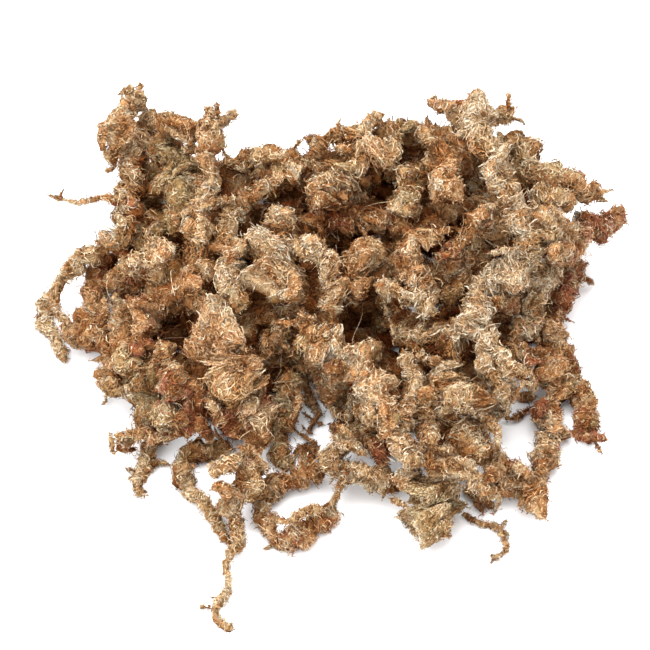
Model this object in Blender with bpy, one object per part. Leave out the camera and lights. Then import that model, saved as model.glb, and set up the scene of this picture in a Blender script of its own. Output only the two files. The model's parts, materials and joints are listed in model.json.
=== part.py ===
"""A loose clump of dried long-fibre moss, heaped on a flat surface.

Every strand is one shoot of moss, modelled as a lumpy tube. The strands are laid one after another,
from the bed on the surface up to the pale ones on top, and each comes to rest on those below it.
Metres, +Z up, with the origin under the middle of the clump, on the surface it rests on.
"""

import math

import bmesh
import bpy
import numpy as np

# Driving dimensions, in metres and radians
PIXEL = 0.00028  # real size of one photograph pixel, from the 7 mm thickness of a moss shoot
PICTURE_MIDDLE = (325, 325)  # photograph pixel that looks at the middle of the clump
VIEW_ELEVATION = math.radians(50)  # the photograph looks down on the clump at this angle
LEAF_FRINGE = 0.0003  # loose leaves stand this far proud of a strand's solid form
THINNEST = 0.0007  # smallest radius of a strand's solid form
STRAND_GAP = 0.0004  # clearance between neighbouring strands
BEND_RADIUS = 0.011  # radius that a dry strand takes where it arches over another
SINK = 0.8  # a strand on the surface flattens until its middle is this many radii up
KNOT_SPACING = 0.0055  # distance between the rings of a strand
BED_KNOT_SPACING = 0.008  # the same on the long strands of the bed
LUMP = 0.16  # share by which a strand's radius swells and narrows along it
LUMP_WAVE = 2.3  # radians of that swelling from one ring to the next
LUMP_SHIFT = 100  # radians that the swelling is shifted by for each metre that a strand starts to the side
CURVE_STEPS = 12  # steps of the smooth curve between two route points
CHORD_STEPS = 5  # clearance tests between two rings
RING_SIDES_RESOLUTION = 2  # bevel resolution of a strand's tube, which gives eight sides
WELD = 1e-6  # vertices closer together than this are one
MILLIMETRE = 0.001

UP = np.array([0.0, 0.0, 1.0])
TOWARDS_VIEW = np.array([0.0, -math.cos(VIEW_ELEVATION), math.sin(VIEW_ELEVATION)])

# Linear colour and roughness of each finish
FINISHES = {
    "cream": ((0.62, 0.43, 0.24), 0.9),
    "straw": ((0.55, 0.39, 0.22), 0.9),
    "tan": ((0.45, 0.28, 0.15), 0.9),
    "peach": ((0.50, 0.27, 0.14), 0.9),
    "ochre": ((0.52, 0.30, 0.12), 0.9),
    "olive": ((0.37, 0.25, 0.13), 0.92),
    "rust": ((0.33, 0.15, 0.07), 0.92),
    "umber": ((0.20, 0.10, 0.045), 0.95),
}

# The bed: strands low in the heap. A route point is x, y and half-width in millimetres, seen from above.
BED = [
    ("bed_back", "umber", [(-55, 40, 2), (-38, 53, 5), (-14, 46, 6), (10, 53, 6), (36, 50, 5), (57, 41, 2)]),
    ("bed_back_middle", "umber", [(-58, 22, 2), (-40, 33, 5), (-14, 28, 6), (14, 36, 6), (38, 30, 5), (61, 33, 2)]),
    ("bed_middle", "umber", [(-60, 6, 2), (-42, 15, 5), (-16, 10, 6), (12, 18, 6), (36, 10, 5), (60, 17, 2)]),
    ("bed_front", "umber", [(-57, -9, 2), (-38, -3, 5), (-12, -7, 5), (12, 0, 5), (36, -8, 5), (58, -2, 2)]),
    ("bed_front_left", "umber", [(-58, -24, 2), (-44, -19, 5), (-28, -23, 5), (-13, -18, 5), (0, -14, 2)]),
    ("bed_front_right", "umber", [(4, -16, 2), (20, -20, 5), (36, -24, 5), (51, -20, 2)]),
    ("bed_left", "olive", [(-43, 55, 2), (-52, 34, 5), (-45, 10, 5), (-52, -16, 2)]),
    ("bed_cross_left", "umber", [(-34, 50, 2), (-23, 32, 5), (-30, 8, 5), (-20, -18, 2)]),
    ("bed_cross", "umber", [(-8, 45, 2), (2, 27, 5), (-7, 7, 5), (4, -14, 2)]),
    ("bed_cross_right", "umber", [(17, 55, 2), (26, 32, 5), (17, 8, 5), (25, -20, 2)]),
    ("bed_right", "tan", [(43, 55, 2), (48, 34, 5), (40, 10, 5), (49, -20, 2)]),
    ("bed_back_top", "umber", [(-6, 37, 2), (12, 45, 5), (30, 46, 5), (46, 43, 5), (57, 34, 2)]),
]

# The strands that the photograph shows, lowest first. A route point is x, y and half-width in its pixels.
STRANDS = [
    ("shade_strand", "olive",
     [(290, 372, 11), (288, 392, 13), (282, 412, 12), (278, 432, 12), (284, 452, 11), (290, 468, 8)]),
    ("under_arch_strand", "umber",
     [(312, 352, 9), (322, 368, 12), (330, 386, 12), (338, 404, 14), (348, 420, 16), (364, 434, 12)]),
    ("left_rust_strand", "rust",
     [(108, 254, 10), (100, 274, 13), (93, 294, 14), (84, 314, 14), (92, 332, 14), (108, 350, 10)]),
    ("left_strand", "straw",
     [(150, 118, 10), (138, 136, 15), (132, 158, 16), (130, 182, 15), (129, 206, 15), (122, 230, 14),
      (106, 247, 11), (88, 254, 10), (74, 268, 9), (61, 286, 9), (48, 303, 10), (46, 320, 10), (55, 338, 7),
      (62, 352, 3), (66, 361, 3)]),
    ("left_low_strand", "rust",
     [(62, 325, 6), (78, 329, 11), (97, 336, 12), (112, 350, 11), (112, 368, 11), (103, 382, 7)]),
    ("left_twig", "straw",
     [(124, 202, 8), (104, 199, 5), (86, 202, 4), (70, 200, 3), (58, 197, 4), (49, 195, 3)]),
    ("crown_left", "straw",
     [(142, 92, 6), (133, 100, 12), (123, 114, 18), (118, 133, 17), (116, 152, 11), (112, 165, 6)]),
    ("ochre_strand", "olive",
     [(118, 306, 9), (124, 322, 14), (127, 342, 15), (134, 362, 15), (143, 384, 19), (149, 402, 19),
      (153, 420, 16), (151, 438, 9), (150, 456, 7), (144, 474, 7), (146, 492, 4)]),
    ("lower_left_strand", "olive",
     [(236, 446, 8), (214, 448, 12), (194, 453, 13), (183, 468, 13), (184, 484, 11), (198, 497, 9),
      (210, 509, 8), (222, 523, 8), (231, 540, 6)]),
    ("arrow_strand", "rust",
     [(326, 464, 10), (306, 474, 13), (284, 480, 13), (266, 490, 12), (261, 508, 9), (268, 528, 11),
      (284, 544, 12), (302, 532, 13), (320, 520, 14), (336, 502, 8)]),
    ("right_outer_strand", "rust",
     [(562, 346, 7), (569, 364, 10), (576, 384, 12), (583, 404, 14), (588, 424, 15), (589, 438, 12)]),
    ("right_strand", "peach",
     [(583, 262, 6), (570, 274, 11), (563, 292, 13), (554, 312, 13), (552, 334, 14), (554, 356, 15),
      (548, 378, 17), (550, 400, 17), (553, 422, 14), (548, 446, 13), (540, 466, 14), (541, 490, 9)]),
    ("bottom_right_curl", "tan",
     [(484, 466, 10), (504, 473, 16), (520, 486, 16), (533, 500, 14), (545, 513, 7)]),
    ("thin_tail", "straw",
     [(460, 512, 5), (480, 521, 5), (500, 523, 4), (505, 538, 4), (502, 550, 3), (488, 558, 3)]),
    ("crown_prongs", "peach",
     [(427, 99, 4), (442, 107, 8), (460, 114, 13), (480, 119, 13), (498, 116, 12), (512, 110, 9)]),
    ("back_left_strand", "tan",
     [(222, 163, 10), (240, 160, 13), (258, 156, 12), (280, 158, 14), (300, 162, 13), (318, 170, 9)]),
    ("top_horizontal_strand", "tan",
     [(308, 149, 5), (326, 142, 9), (346, 136, 12), (366, 126, 10), (385, 114, 5)]),
    ("nest_core", "olive",
     [(158, 140, 14), (168, 156, 20), (180, 172, 22), (186, 192, 20), (180, 212, 17), (172, 232, 13)]),
    ("nest_top_strand", "tan",
     [(236, 112, 3), (226, 122, 7), (210, 130, 11), (192, 128, 15), (174, 124, 14), (158, 120, 10)]),
    ("nest_right_strand", "peach",
     [(207, 108, 5), (208, 122, 9), (211, 142, 12), (211, 162, 12), (206, 182, 11), (204, 202, 11),
      (202, 222, 13), (196, 242, 16), (194, 260, 16), (200, 277, 15), (214, 290, 9)]),
    ("middle_left_strand", "rust",
     [(222, 306, 10), (204, 300, 15), (182, 294, 17), (162, 298, 16), (148, 312, 15), (146, 330, 15),
      (150, 350, 12)]),
    ("left_band", "tan", [(114, 268, 11), (134, 268, 14), (156, 262, 14), (176, 248, 10)]),
    ("rust_finger", "rust",
     [(166, 344, 11), (172, 364, 14), (182, 384, 15), (192, 402, 14), (197, 422, 12), (180, 434, 10),
      (158, 434, 8), (136, 436, 8), (118, 446, 7)]),
    ("rust_bar", "rust",
     [(300, 222, 9), (324, 220, 13), (350, 218, 16), (376, 222, 15), (398, 224, 11), (414, 222, 12),
      (432, 222, 14), (450, 213, 13), (466, 204, 9)]),
    ("top_arch", "olive",
     [(385, 145, 9), (396, 134, 10), (413, 129, 11), (429, 136, 11), (436, 152, 12), (430, 169, 13),
      (416, 185, 18), (402, 201, 17), (387, 207, 12)]),
    ("upper_middle_strand", "tan",
     [(394, 150, 14), (374, 152, 18), (354, 164, 20), (336, 180, 19), (322, 198, 16), (312, 214, 11)]),
    ("fan", "olive",
     [(506, 136, 10), (517, 152, 17), (533, 170, 21), (553, 182, 18), (572, 187, 16), (590, 194, 12),
      (605, 198, 5)]),
    ("right_arm", "peach",
     [(622, 215, 8), (610, 223, 14), (593, 231, 15), (575, 236, 18), (558, 236, 21), (545, 224, 20),
      (534, 206, 13)]),
    ("round_tuft", "peach",
     [(470, 138, 10), (452, 148, 18), (443, 168, 20), (446, 190, 18), (462, 200, 12)]),
    ("crown_column", "cream",
     [(479, 92, 8), (478, 108, 14), (476, 126, 16), (485, 146, 17), (495, 166, 16), (502, 186, 14),
      (508, 204, 10)]),
    ("long_diagonal", "straw",
     [(240, 312, 11), (238, 292, 14), (231, 274, 15), (229, 256, 14), (228, 234, 12), (230, 217, 12),
      (242, 205, 13), (257, 194, 12), (272, 184, 12), (288, 174, 13), (304, 168, 9)]),
    ("centre_left_column", "ochre", [(262, 296, 10), (270, 316, 13), (274, 336, 12), (268, 356, 9)]),
    ("centre_mass", "tan",
     [(396, 322, 10), (412, 338, 17), (434, 348, 20), (458, 344, 19), (476, 330, 12)]),
    ("centre_low_strand", "tan",
     [(438, 366, 14), (446, 384, 24), (446, 404, 28), (452, 424, 27), (468, 442, 22), (487, 456, 14)]),
    ("tan_curl", "tan",
     [(505, 224, 8), (490, 214, 12), (474, 222, 12), (462, 236, 12), (452, 252, 14), (450, 270, 17),
      (450, 288, 17), (446, 306, 12)]),
    ("pale_right_leg", "cream",
     [(562, 262, 8), (546, 272, 13), (536, 290, 15), (530, 312, 16), (522, 332, 13), (514, 350, 11),
      (526, 362, 12), (542, 358, 9)]),
    ("pale_main_strand", "cream",
     [(500, 196, 10), (518, 212, 16), (527, 232, 19), (526, 252, 19), (512, 270, 18), (494, 284, 16),
      (478, 300, 17), (472, 320, 16), (482, 340, 12), (493, 358, 11), (499, 378, 13), (498, 398, 13),
      (498, 420, 8)]),
    ("low_band", "straw",
     [(370, 424, 10), (350, 434, 12), (334, 448, 12), (336, 464, 12), (356, 474, 12), (380, 480, 13),
      (404, 476, 12)]),
    ("bottom_tuft", "straw", [(410, 474, 16), (420, 488, 28), (428, 506, 32), (436, 524, 22), (446, 536, 9)]),
    ("pale_wing", "cream",
     [(404, 352, 7), (411, 376, 9), (409, 398, 9), (401, 418, 10), (398, 438, 13), (414, 456, 13),
      (436, 458, 11), (458, 466, 12), (474, 482, 10), (492, 490, 6)]),
    ("centre_orange_tuft", "peach", [(366, 246, 12), (362, 264, 20), (356, 284, 18), (354, 304, 12)]),
    ("hook_strand", "peach",
     [(440, 238, 8), (420, 242, 12), (408, 256, 14), (410, 272, 15), (422, 286, 14), (438, 296, 8)]),
    ("centre_tuft", "cream",
     [(281, 222, 12), (272, 240, 22), (270, 262, 25), (277, 284, 21), (288, 302, 14)]),
    ("centre_shoulder", "straw",
     [(298, 240, 11), (316, 250, 13), (328, 264, 13), (333, 284, 13), (332, 304, 13), (335, 322, 11)]),
    ("pale_fold", "cream", [(378, 288, 8), (400, 294, 11), (422, 302, 12), (437, 314, 8)]),
    ("golden_arch", "ochre",
     [(297, 322, 10), (313, 334, 17), (334, 344, 19), (352, 356, 16), (366, 370, 17), (374, 388, 16),
      (380, 406, 15), (390, 424, 12)]),
    ("great_strand", "peach",
     [(222, 318, 14), (226, 338, 23), (226, 360, 27), (234, 384, 28), (246, 406, 25), (256, 426, 18),
      (259, 444, 13)]),
    ("tail_strand", "straw",
     [(262, 452, 14), (254, 470, 18), (238, 488, 17), (230, 504, 13), (240, 521, 10), (244, 536, 9),
      (233, 551, 7), (226, 564, 4), (227, 578, 3), (229, 588, 5), (219, 597, 6), (214, 608, 3),
      (221, 617, 3), (232, 619, 3)]),
]


def clear_scene():
    """Removes the objects that Blender starts with."""
    for obj in list(bpy.data.objects):
        bpy.data.objects.remove(obj)


def smooth_route(points, spacing):
    """Rows of x, y and radius, evenly spaced along a Catmull-Rom curve through the route points."""
    ends = np.vstack([2 * points[0] - points[1], points, 2 * points[-1] - points[-2]])
    curve = []
    for before, start, stop, after in zip(ends, ends[1:], ends[2:], ends[3:]):
        for s in np.arange(CURVE_STEPS) / CURVE_STEPS:
            curve.append(0.5 * (2 * start + (stop - before) * s
                                + (2 * before - 5 * start + 4 * stop - after) * s**2
                                + (3 * start - before - 3 * stop + after) * s**3))
    curve = np.array(curve + [points[-1]])
    reach = np.concatenate([[0], np.hypot(*np.diff(curve[:, :2], axis=0).T).cumsum()])
    count = max(4, round(reach[-1] / spacing) + 1)
    even = np.linspace(0, reach[-1], count)
    return np.column_stack([np.interp(even, reach, column) for column in curve.T])


def bed_knots(route):
    """A bed route, from millimetres to knots on the surface."""
    return smooth_route(np.array(route, float) * MILLIMETRE, BED_KNOT_SPACING)


def picture_knots(route):
    """A route picked on the photograph, as the knots on the surface that its view rays meet."""
    x, y, half_width = np.array(route, float).T
    across = (x - PICTURE_MIDDLE[0]) * PIXEL
    away = (PICTURE_MIDDLE[1] - y) * PIXEL / math.sin(VIEW_ELEVATION)
    radius = np.maximum(half_width * PIXEL - LEAF_FRINGE, THINNEST)
    return smooth_route(np.column_stack([across, away, radius]), KNOT_SPACING)


def between_knots(rows):
    """The rows with CHORD_STEPS - 1 more between each two, on the straight line that joins them."""
    at = np.linspace(0, len(rows) - 1, (len(rows) - 1) * CHORD_STEPS + 1)
    return np.column_stack([np.interp(at, np.arange(len(rows)), column) for column in rows.T])


def contact_lift(spheres, laid, direction):
    """How far along direction each sphere moves to be clear of the surface and of the spheres laid before."""
    lift = (SINK * spheres[:, 3] - spheres[:, 2]) / direction[2]
    if len(laid):
        apart = laid[None, :, :3] - spheres[:, None, :3]
        along = apart @ direction
        reach = spheres[:, 3, None] + laid[None, :, 3] + STRAND_GAP
        inside = along**2 - (apart**2).sum(axis=2) + reach**2
        leaving = np.where(inside > 0, along + np.sqrt(np.maximum(inside, 0)), 0)
        lift = np.maximum(lift, leaving.max(axis=1))
    return lift


def draped_lift(spheres, contact):
    """The lift of a strand that arches off each contact with BEND_RADIUS and sinks again beyond it."""
    steps = np.linalg.norm(np.diff(spheres[:, :3], axis=0), axis=1)
    reach = np.concatenate([[0], steps.cumsum()])
    fall = (reach[:, None] - reach[None, :]) ** 2 / (2 * BEND_RADIUS)
    return (contact[None, :] - fall).max(axis=1)


def lay(knots, laid, direction):
    """Knots of x, y, z and radius, with the strand resting on the surface and on what was laid before."""
    x, y, radius = knots.T
    radius = radius * (1 + LUMP * np.sin(LUMP_WAVE * np.arange(len(radius)) + LUMP_SHIFT * x[0]))
    flat = np.column_stack([x, y, np.zeros(len(x)), radius])
    spheres = between_knots(flat)
    lift = draped_lift(spheres, contact_lift(spheres, laid, direction))
    knot_lift = [lift[max(0, (i - 1) * CHORD_STEPS):(i + 1) * CHORD_STEPS + 1].max() for i in range(len(flat))]
    flat[:, :3] += np.array(knot_lift)[:, None] * direction
    return flat


def lay_all():
    """Every strand's name, finish and laid knots, moved so that the origin is under the clump's middle."""
    rows = [(name, finish, bed_knots(route), UP) for name, finish, route in BED]
    rows += [(name, finish, picture_knots(route), TOWARDS_VIEW) for name, finish, route in STRANDS]
    laid = np.zeros((0, 4))
    strands = []
    for name, finish, knots, direction in rows:
        strand = lay(knots, laid, direction)
        laid = np.vstack([laid, between_knots(strand)])
        strands.append((name, finish, strand))
    return strands


def finish_material(name):
    """The plain material of one finish, shared by the strands that have it."""
    material = bpy.data.materials.get(name)
    if material is None:
        colour, roughness = FINISHES[name]
        material = bpy.data.materials.new(name)
        material.use_nodes = True
        shader = material.node_tree.nodes["Principled BSDF"]
        shader.inputs["Base Color"].default_value = (*colour, 1)
        shader.inputs["Roughness"].default_value = roughness
        shader.inputs["Metallic"].default_value = 0
    return material


def strand_tube(name, strand):
    """The strand as a mesh: a curve with a radius at each knot, capped at both ends."""
    data = bpy.data.curves.new(name, "CURVE")
    data.dimensions = "3D"
    data.bevel_depth = 1
    data.bevel_resolution = RING_SIDES_RESOLUTION
    data.use_fill_caps = True
    spline = data.splines.new("POLY")
    spline.points.add(len(strand) - 1)
    for point, (x, y, z, radius) in zip(spline.points, strand):
        point.co = (x, y, z, 1)
        point.radius = radius
    curve = bpy.data.objects.new(name + "_curve", data)
    bpy.context.scene.collection.objects.link(curve)
    evaluated = curve.evaluated_get(bpy.context.evaluated_depsgraph_get())
    mesh = bpy.data.meshes.new_from_object(evaluated)
    mesh.name = name
    bpy.data.objects.remove(curve)
    return mesh


def flatten_below_surface(mesh):
    """Welds the tube's caps to it, and cuts the strand off flat where it presses on the surface."""
    work = bmesh.new()
    work.from_mesh(mesh)
    bmesh.ops.remove_doubles(work, verts=work.verts, dist=WELD)
    geometry = work.verts[:] + work.edges[:] + work.faces[:]
    cut = bmesh.ops.bisect_plane(work, geom=geometry, plane_co=(0, 0, 0), plane_no=(0, 0, 1), clear_inner=True)
    edges = [e for e in cut["geom_cut"] if isinstance(e, bmesh.types.BMEdge)]
    if edges:
        bmesh.ops.edgeloop_fill(work, edges=edges)
    bmesh.ops.recalc_face_normals(work, faces=work.faces)
    work.to_mesh(mesh)
    work.free()


def build_strand(name, finish, strand, collection):
    """One strand, as a named object with its finish."""
    mesh = strand_tube(name, strand)
    flatten_below_surface(mesh)
    mesh.materials.clear()
    mesh.materials.append(finish_material(finish))
    mesh.shade_smooth()
    obj = bpy.data.objects.new(name, mesh)
    collection.objects.link(obj)
    return obj


def stand_on_origin(objects):
    """Moves the strands together, so that the origin is under the middle of their common box."""
    corners = np.array([tuple(vertex.co) for obj in objects for vertex in obj.data.vertices])
    low, high = corners.min(axis=0), corners.max(axis=0)
    middle = (low + high) / 2
    for obj in objects:
        obj.location = (-middle[0], -middle[1], -low[2])


def main():
    clear_scene()
    collection = bpy.data.collections.new("moss_clump")
    bpy.context.scene.collection.children.link(collection)
    objects = [build_strand(name, finish, strand, collection) for name, finish, strand in lay_all()]
    stand_on_origin(objects)


main()
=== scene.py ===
"""Looks for the clump of dried long-fibre moss: every strand is clad in its leaves, side shoots and hairs.

Each solid of the frame is one strand. Its middle line and thickness are worked out from its mesh, and a piece
of the same name with the real surface replaces it. That surface is made of lobes that wander along the
strand, under tufts of curled leaves, with short side shoots and a few long hairs, all as plain mesh. Some
pieces also carry small strands that the photograph shows between the large ones.
"""

import json
import math
from collections import namedtuple

import bpy
import numpy as np
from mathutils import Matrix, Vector
from mathutils.bvhtree import BVHTree


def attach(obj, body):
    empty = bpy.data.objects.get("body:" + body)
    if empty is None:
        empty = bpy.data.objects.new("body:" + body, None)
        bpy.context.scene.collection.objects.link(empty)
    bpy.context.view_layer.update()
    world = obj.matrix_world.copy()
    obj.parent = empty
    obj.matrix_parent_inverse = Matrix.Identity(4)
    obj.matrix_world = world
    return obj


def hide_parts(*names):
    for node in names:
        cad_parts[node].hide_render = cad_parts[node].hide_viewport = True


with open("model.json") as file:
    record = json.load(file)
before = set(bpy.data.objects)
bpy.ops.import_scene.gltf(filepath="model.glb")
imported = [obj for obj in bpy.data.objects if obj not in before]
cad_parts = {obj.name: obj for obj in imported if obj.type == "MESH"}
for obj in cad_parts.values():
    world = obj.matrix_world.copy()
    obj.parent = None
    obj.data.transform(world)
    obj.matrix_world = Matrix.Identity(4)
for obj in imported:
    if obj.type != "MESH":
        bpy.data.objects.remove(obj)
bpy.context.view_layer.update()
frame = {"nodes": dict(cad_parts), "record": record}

# The photograph's view
PICTURE_SIZE = 650  # pixels along each side
PIXEL = 0.00028  # metres that one pixel spans at the clump
PICTURE_MIDDLE = (-0.00241, 0.02276, 0.0)  # the point on the surface that its middle pixel looks at
VIEW_ELEVATION = math.radians(50)
VIEW_DISTANCE = 3.0
SENSOR = 36  # millimetres
CLIP_END = 20
VIEW_WAY = np.array((0, math.cos(VIEW_ELEVATION), -math.sin(VIEW_ELEVATION)))
PICTURE_UP = np.array((0, math.sin(VIEW_ELEVATION), math.cos(VIEW_ELEVATION)))

# The floor and the lights: name, place, size and power
FLOOR_SIZE = 6
FLOOR_COLOUR = (0.93, 0.93, 0.94, 1)
STUDIO_STRENGTH = 1.5
LIGHTS = (("overhead", (-0.16, 0.18, 1.3), 1.6, 38), ("fill", (-0.9, -1.0, 0.9), 0.9, 12))

# Small strands laid over the picture, and places where strands are drawn in
ACCENT_START = 0.3  # metres in front of the picture's plane that the rays start which look for the clump
ACCENT_STEP = 4  # pixels between the points of a small strand
ACCENT_LIFT = 0.001  # metres that a small strand clears the solid that it lies on
ACCENT_RISE = 0.7  # and how much of its radius it rises besides
ACCENT_CLEAR = 0.8  # how much of its radius its middle stays above the floor
BARE = 0.8  # half-width in pixels up to which a small strand is a bare hair
# Pixels right and down from a route, where the clump is looked for one after the other
SEARCH = ((0, 0), (0, 6), (6, 4), (-6, 4), (0, 12), (10, 8), (-10, 8), (0, 20))
NIP_WIDTH = 0.55  # how thick a strand stays at a place where it is drawn in
NIP_PUSH = 0.0014  # metres that it is moved there

# Strands: lengths in metres, and shares of the strand's radius
RING_POINTS = 8  # vertices of a solid for each row of its middle line
RING_WIDTH = 0.45  # how far round a row its vertices count, as a share of the way to the next
SPINE_STEP = 0.0012  # spacing of the points along a strand's middle line
TURN_STEP = 0.0013  # spacing of the points round it
MOST_TURNS = 24  # and the most there are of them
SHOOT_TURNS = 8  # points round a side shoot or a small strand
SMOOTH_BEND = 0.4  # the middle line is smoothed over this share of the radius
SMOOTH_TURN = 0.6  # and its directions over this one
WANDERS = ((0.014, 0.32), (0.0065, 0.15))  # lengths of a strand's kinks, and their depths
WANDER_CLEAR = 0.6  # how high the middle stays above the floor
FLOOR_GAP = 0.0001  # nothing of the moss reaches lower than this

# A strand's surface: lengths in metres, and shares of the strand's radius. A spread is the length of the
# waves in a measure, its mean, and how far it goes up and down
LOBE_RADIUS = 0.0021  # a strand has one lobe for each of these in its radius
MOST_LOBES = 4
LOBE_TURN = (0.028, 0, 1.3)  # spread of a lobe's way round the strand, in radians
LOBE_OFFSET = (0.011, 0.42, 0.20)  # spread of its distance from the middle
LOBE_SIZE = (0.0075, 0.60, 0.22)  # spread of its radius
LONE_LOBE = 0.35  # how much thicker a lobe is that has no other beside it
LEAST_SURFACE = 0.6  # the surface lies no lower than this
RUGGED = 0.09  # how far each of the waves over the surface reaches
RUGGED_LENGTH = (0.005, 0.012)  # how long those waves are along the strand
RUGGED_TURNS = (1, 2, 2, 3, 4, 5)  # how often each goes up and down round it
SNUG = 0.80  # how much of its solid the surface fills, under the tufts
END_OPENING = 0.05  # how much of the rounding at a strand's ends is left off
FIT_RANGE = (0.5, 1.6)  # the surface follows its solid no further than this
STRETCH_RANGE = (0.6, 3)  # limits to how much the surface is stretched along a bend, for spacing the leaves
LEAST_ROUND = 0.5  # the least radius that it is taken to have there

# Tufts of leaves, and dents between them: lengths in metres, and shares of a tuft's radius
FULL_RADIUS = 0.0042  # a strand this thick has leaves and tufts of full size
STRAND_SIZES = (0.35, 1)  # least and greatest size of a strand's leaves
ACCENT_SIZES = (0.3, 1)  # and of a small strand's
TUFT_AREA = 13e-6  # area of a strand's surface for each tuft, in square metres
TUFT_RADIUS = (0.0016, 0.0034)
TUFT_HEIGHT = (0.25, 0.9)
TUFT_CORNERS = 3  # a tuft's edge goes in and out so often
TUFT_RAGGED = 0.25  # and this far
BULK_RANGE = (0.3, 1.5)  # size of the tufts on the thinnest and on the thickest strands
BULK_POWER = 1.3  # how fast their area grows with that
DENTS = 0.6  # dents for each tuft
DENT_SIZE = 0.8
DENT_DEPTH = (0.4, 1.0)
MOST_DENT = 0.45  # as a share of the strand's radius
DENT_SHADE = 0.8  # how much darker a dent's middle is
TUFT_SHADE = (2.2, 1.6)  # how bright a tuft is at its middle, and how much of that it loses over its radius
LEAST_SHADE = 0.15  # how bright the deepest crease is
CORE_SINK = 0.0003  # how far the core lies under the leaves' roots
CRUMPLE = 0.00022  # how far the core's points stray
CORE_TONES = (0.8, 1.2)  # how much darker and brighter they are than the tuft's own colour

# How many leaves there are, as shares
LEAVES_PER_AREA = 2.4e6  # leaves on each square metre that the camera sees
HIDDEN_SHARE = 0.12  # share of that where a strand is buried
SEEN_SHARE = 0.5  # the least of it where the camera sees a strand
BACK_SHARE = 0.42  # the share where it is open, but the camera doesn't see it
OPEN_GAIN = 1.9  # how fast the share grows with openness

# How open a place is, and how bright its leaves are painted for that, as shade deep in the clump
WAYS = 30  # directions in which it is tried, over a whole ball
LOWEST_WAY = -0.1  # how far down those go that are used, of 1
TABLE_STEP = 2  # every so many rows and columns of a strand's tables are measured
SIGHT = 0.03  # metres that have to be free in a direction
GRAZING = 0.15  # directions that lie flatter on the surface than this aren't tried
START_GAP = 0.0005  # metres above the solid that a place is looked at from
THIN_COVER = 0.006  # a place that another solid covers no deeper may show, as strands are thinner than that
COVERED_OPENNESS = 0.35  # how open such a place is
SHOOT_OPENNESS = 0.4  # how open a side shoot is
LIGHT_FLOOR = 0.40  # painted shade: a leaf deep in the clump keeps this share of its brightness
SHADE_WARMTH = np.array((1, 1.8, 2.8))  # how much faster the three colours darken in that painted shade

# How leaves lie in their tufts, in radians. The first of a pair holds on a combed strand, and the second is
# what a loose one adds
COMBS = (0.0, 0.8)  # how much a strand's leaves all lie along it, at the least and at the most
LIE_STRAY = (0.3, 1.2)  # how far a tuft's way is from the strand's
SPIN_STRAY = (0.3, 1)  # how far a tuft's leaves turn together
ROSETTE = (0.4, 1)  # how strongly its leaves spread from its middle
ROSETTE_PULL = (0.3, 1.4)  # that pull at the tuft's middle, and how much more there is at its edge
ROSETTE_SPIN = 0.4  # how much of its turn shows in the way its leaves start
WAY_STRAY = 0.5  # how far a leaf's way is from its tuft's
END_ZONE = 1.1  # leaves lie all ways within so many radii of a strand's end
END_LENGTH = 0.65  # and are this much shorter there
COMB_LENGTH = 0.4  # how much longer leaves are on a combed strand
COMB_CURL = 0.5  # and how much less curled
CURLS = (0.4, 1.4)  # least and most that a leaf turns, as shares of what its kind does
SPIN_CURL = 0.5  # how much of its tuft's turn it adds
KINK = 0.2  # how far its way strays at each of its points
TWIST = (0.4, 0.5)  # how far it is twisted at its root, and how much more up to its tip
THIN_WIDTH = 0.6  # how wide leaves are on the thinnest strands

# How a leaf stands: shares of its length, and metres
FRAYED_LIFT = (0.2, 0.8)  # how far a frayed leaf's tip rises
FLAT_LIFT = (-0.02, 0.2)  # and any other leaf's
ROOT_STRAY = 0.0003  # how far the leaves' roots lie above or below the surface
MOST_BRIDGE = 0.2  # how high a leaf stays above a dip that it crosses
CUPS = (0.2, 0.5)  # how far a leaf's edges curl down, as a share of its width
CUPPED_UP, UP_CUP = 0.2, 0.6  # share of the leaves that curl up instead, and how much as far

# Side shoots: length of strand for each one, and their ranges of lengths and of radii, in metres
SHOOTS = [
    (0.009, (0.005, 0.012), (0.0010, 0.0021)),
    (0.008, (0.003, 0.008), (0.0004, 0.0008)),
]
SHOOT_STEPS = 8
SHOOT_ANYWHERE = 0.03  # openness that even a buried place counts for when a shoot's place is picked
SHOOT_DEPTH = 0.7  # how much of the way out to the surface it starts
SHOOT_RISE = (0.1, 0.6)  # how much it goes outwards at first, where it goes 1 along the strand
SHOOT_STRAY, SHOOT_KINK = 0.35, 0.18  # how far its way strays at first, and at each step
SHOOT_BEND = (0.15, 0.5)  # how far each step turns
SHOOT_FALL = 0.9  # how much of that is back to the strand
SHOOT_TAPER = (1.1, 0.5)  # its radius at its root and its tip
SHOOT_SIZE = 0.6  # size of its leaves, as a share of those on the strand

# Long hairs, in metres
HAIR_SPACING = 0.02  # length of strand for each long hair
HAIR_LENGTH = (0.008, 0.020)
HAIR_WIDTH = 0.00014
HAIR_POINTS = 10
HAIR_LIFT = 0.0004  # how far its ends clear the surface
HAIR_BOW = (0.0005, 0.003)  # and how much further its middle does
HAIR_ARCH = (0.6, 1.2)  # how much of a whole arch it makes
HAIR_TURN = 2.2  # how far it turns from end to end, in radians
HAIR_PALENESS = (0.2, 0.9)  # how far its tip goes to the palest tint

# The kinds of leaf: their share of the leaves, how many points each row across one has, its width at each
# row, its range of lengths and of widths in metres, the share of them that is frayed, how far one turns from
# root to tip in radians, and how high its middle bows
Kind = namedtuple("Kind", "share rows profile lengths widths fraying turning bows")
KINDS = [
    Kind(0.16, (1, 2, 2, 2, 1), (0, 1, 0.9, 0.8, 0),
         (0.0020, 0.0042), (0.00026, 0.00044), 0.15, 4.5, (0.02, 0.20)),
    Kind(0.46, (1, 2, 2, 1), (0, 1, 0.9, 0),
         (0.0012, 0.0027), (0.00028, 0.00050), 0.18, 3.4, (0.02, 0.25)),
    Kind(0.38, (1, 2, 1), (0, 1, 0),
         (0.0007, 0.0015), (0.00030, 0.00055), 0.08, 1.8, (0.0, 0.2)),
]

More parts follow.
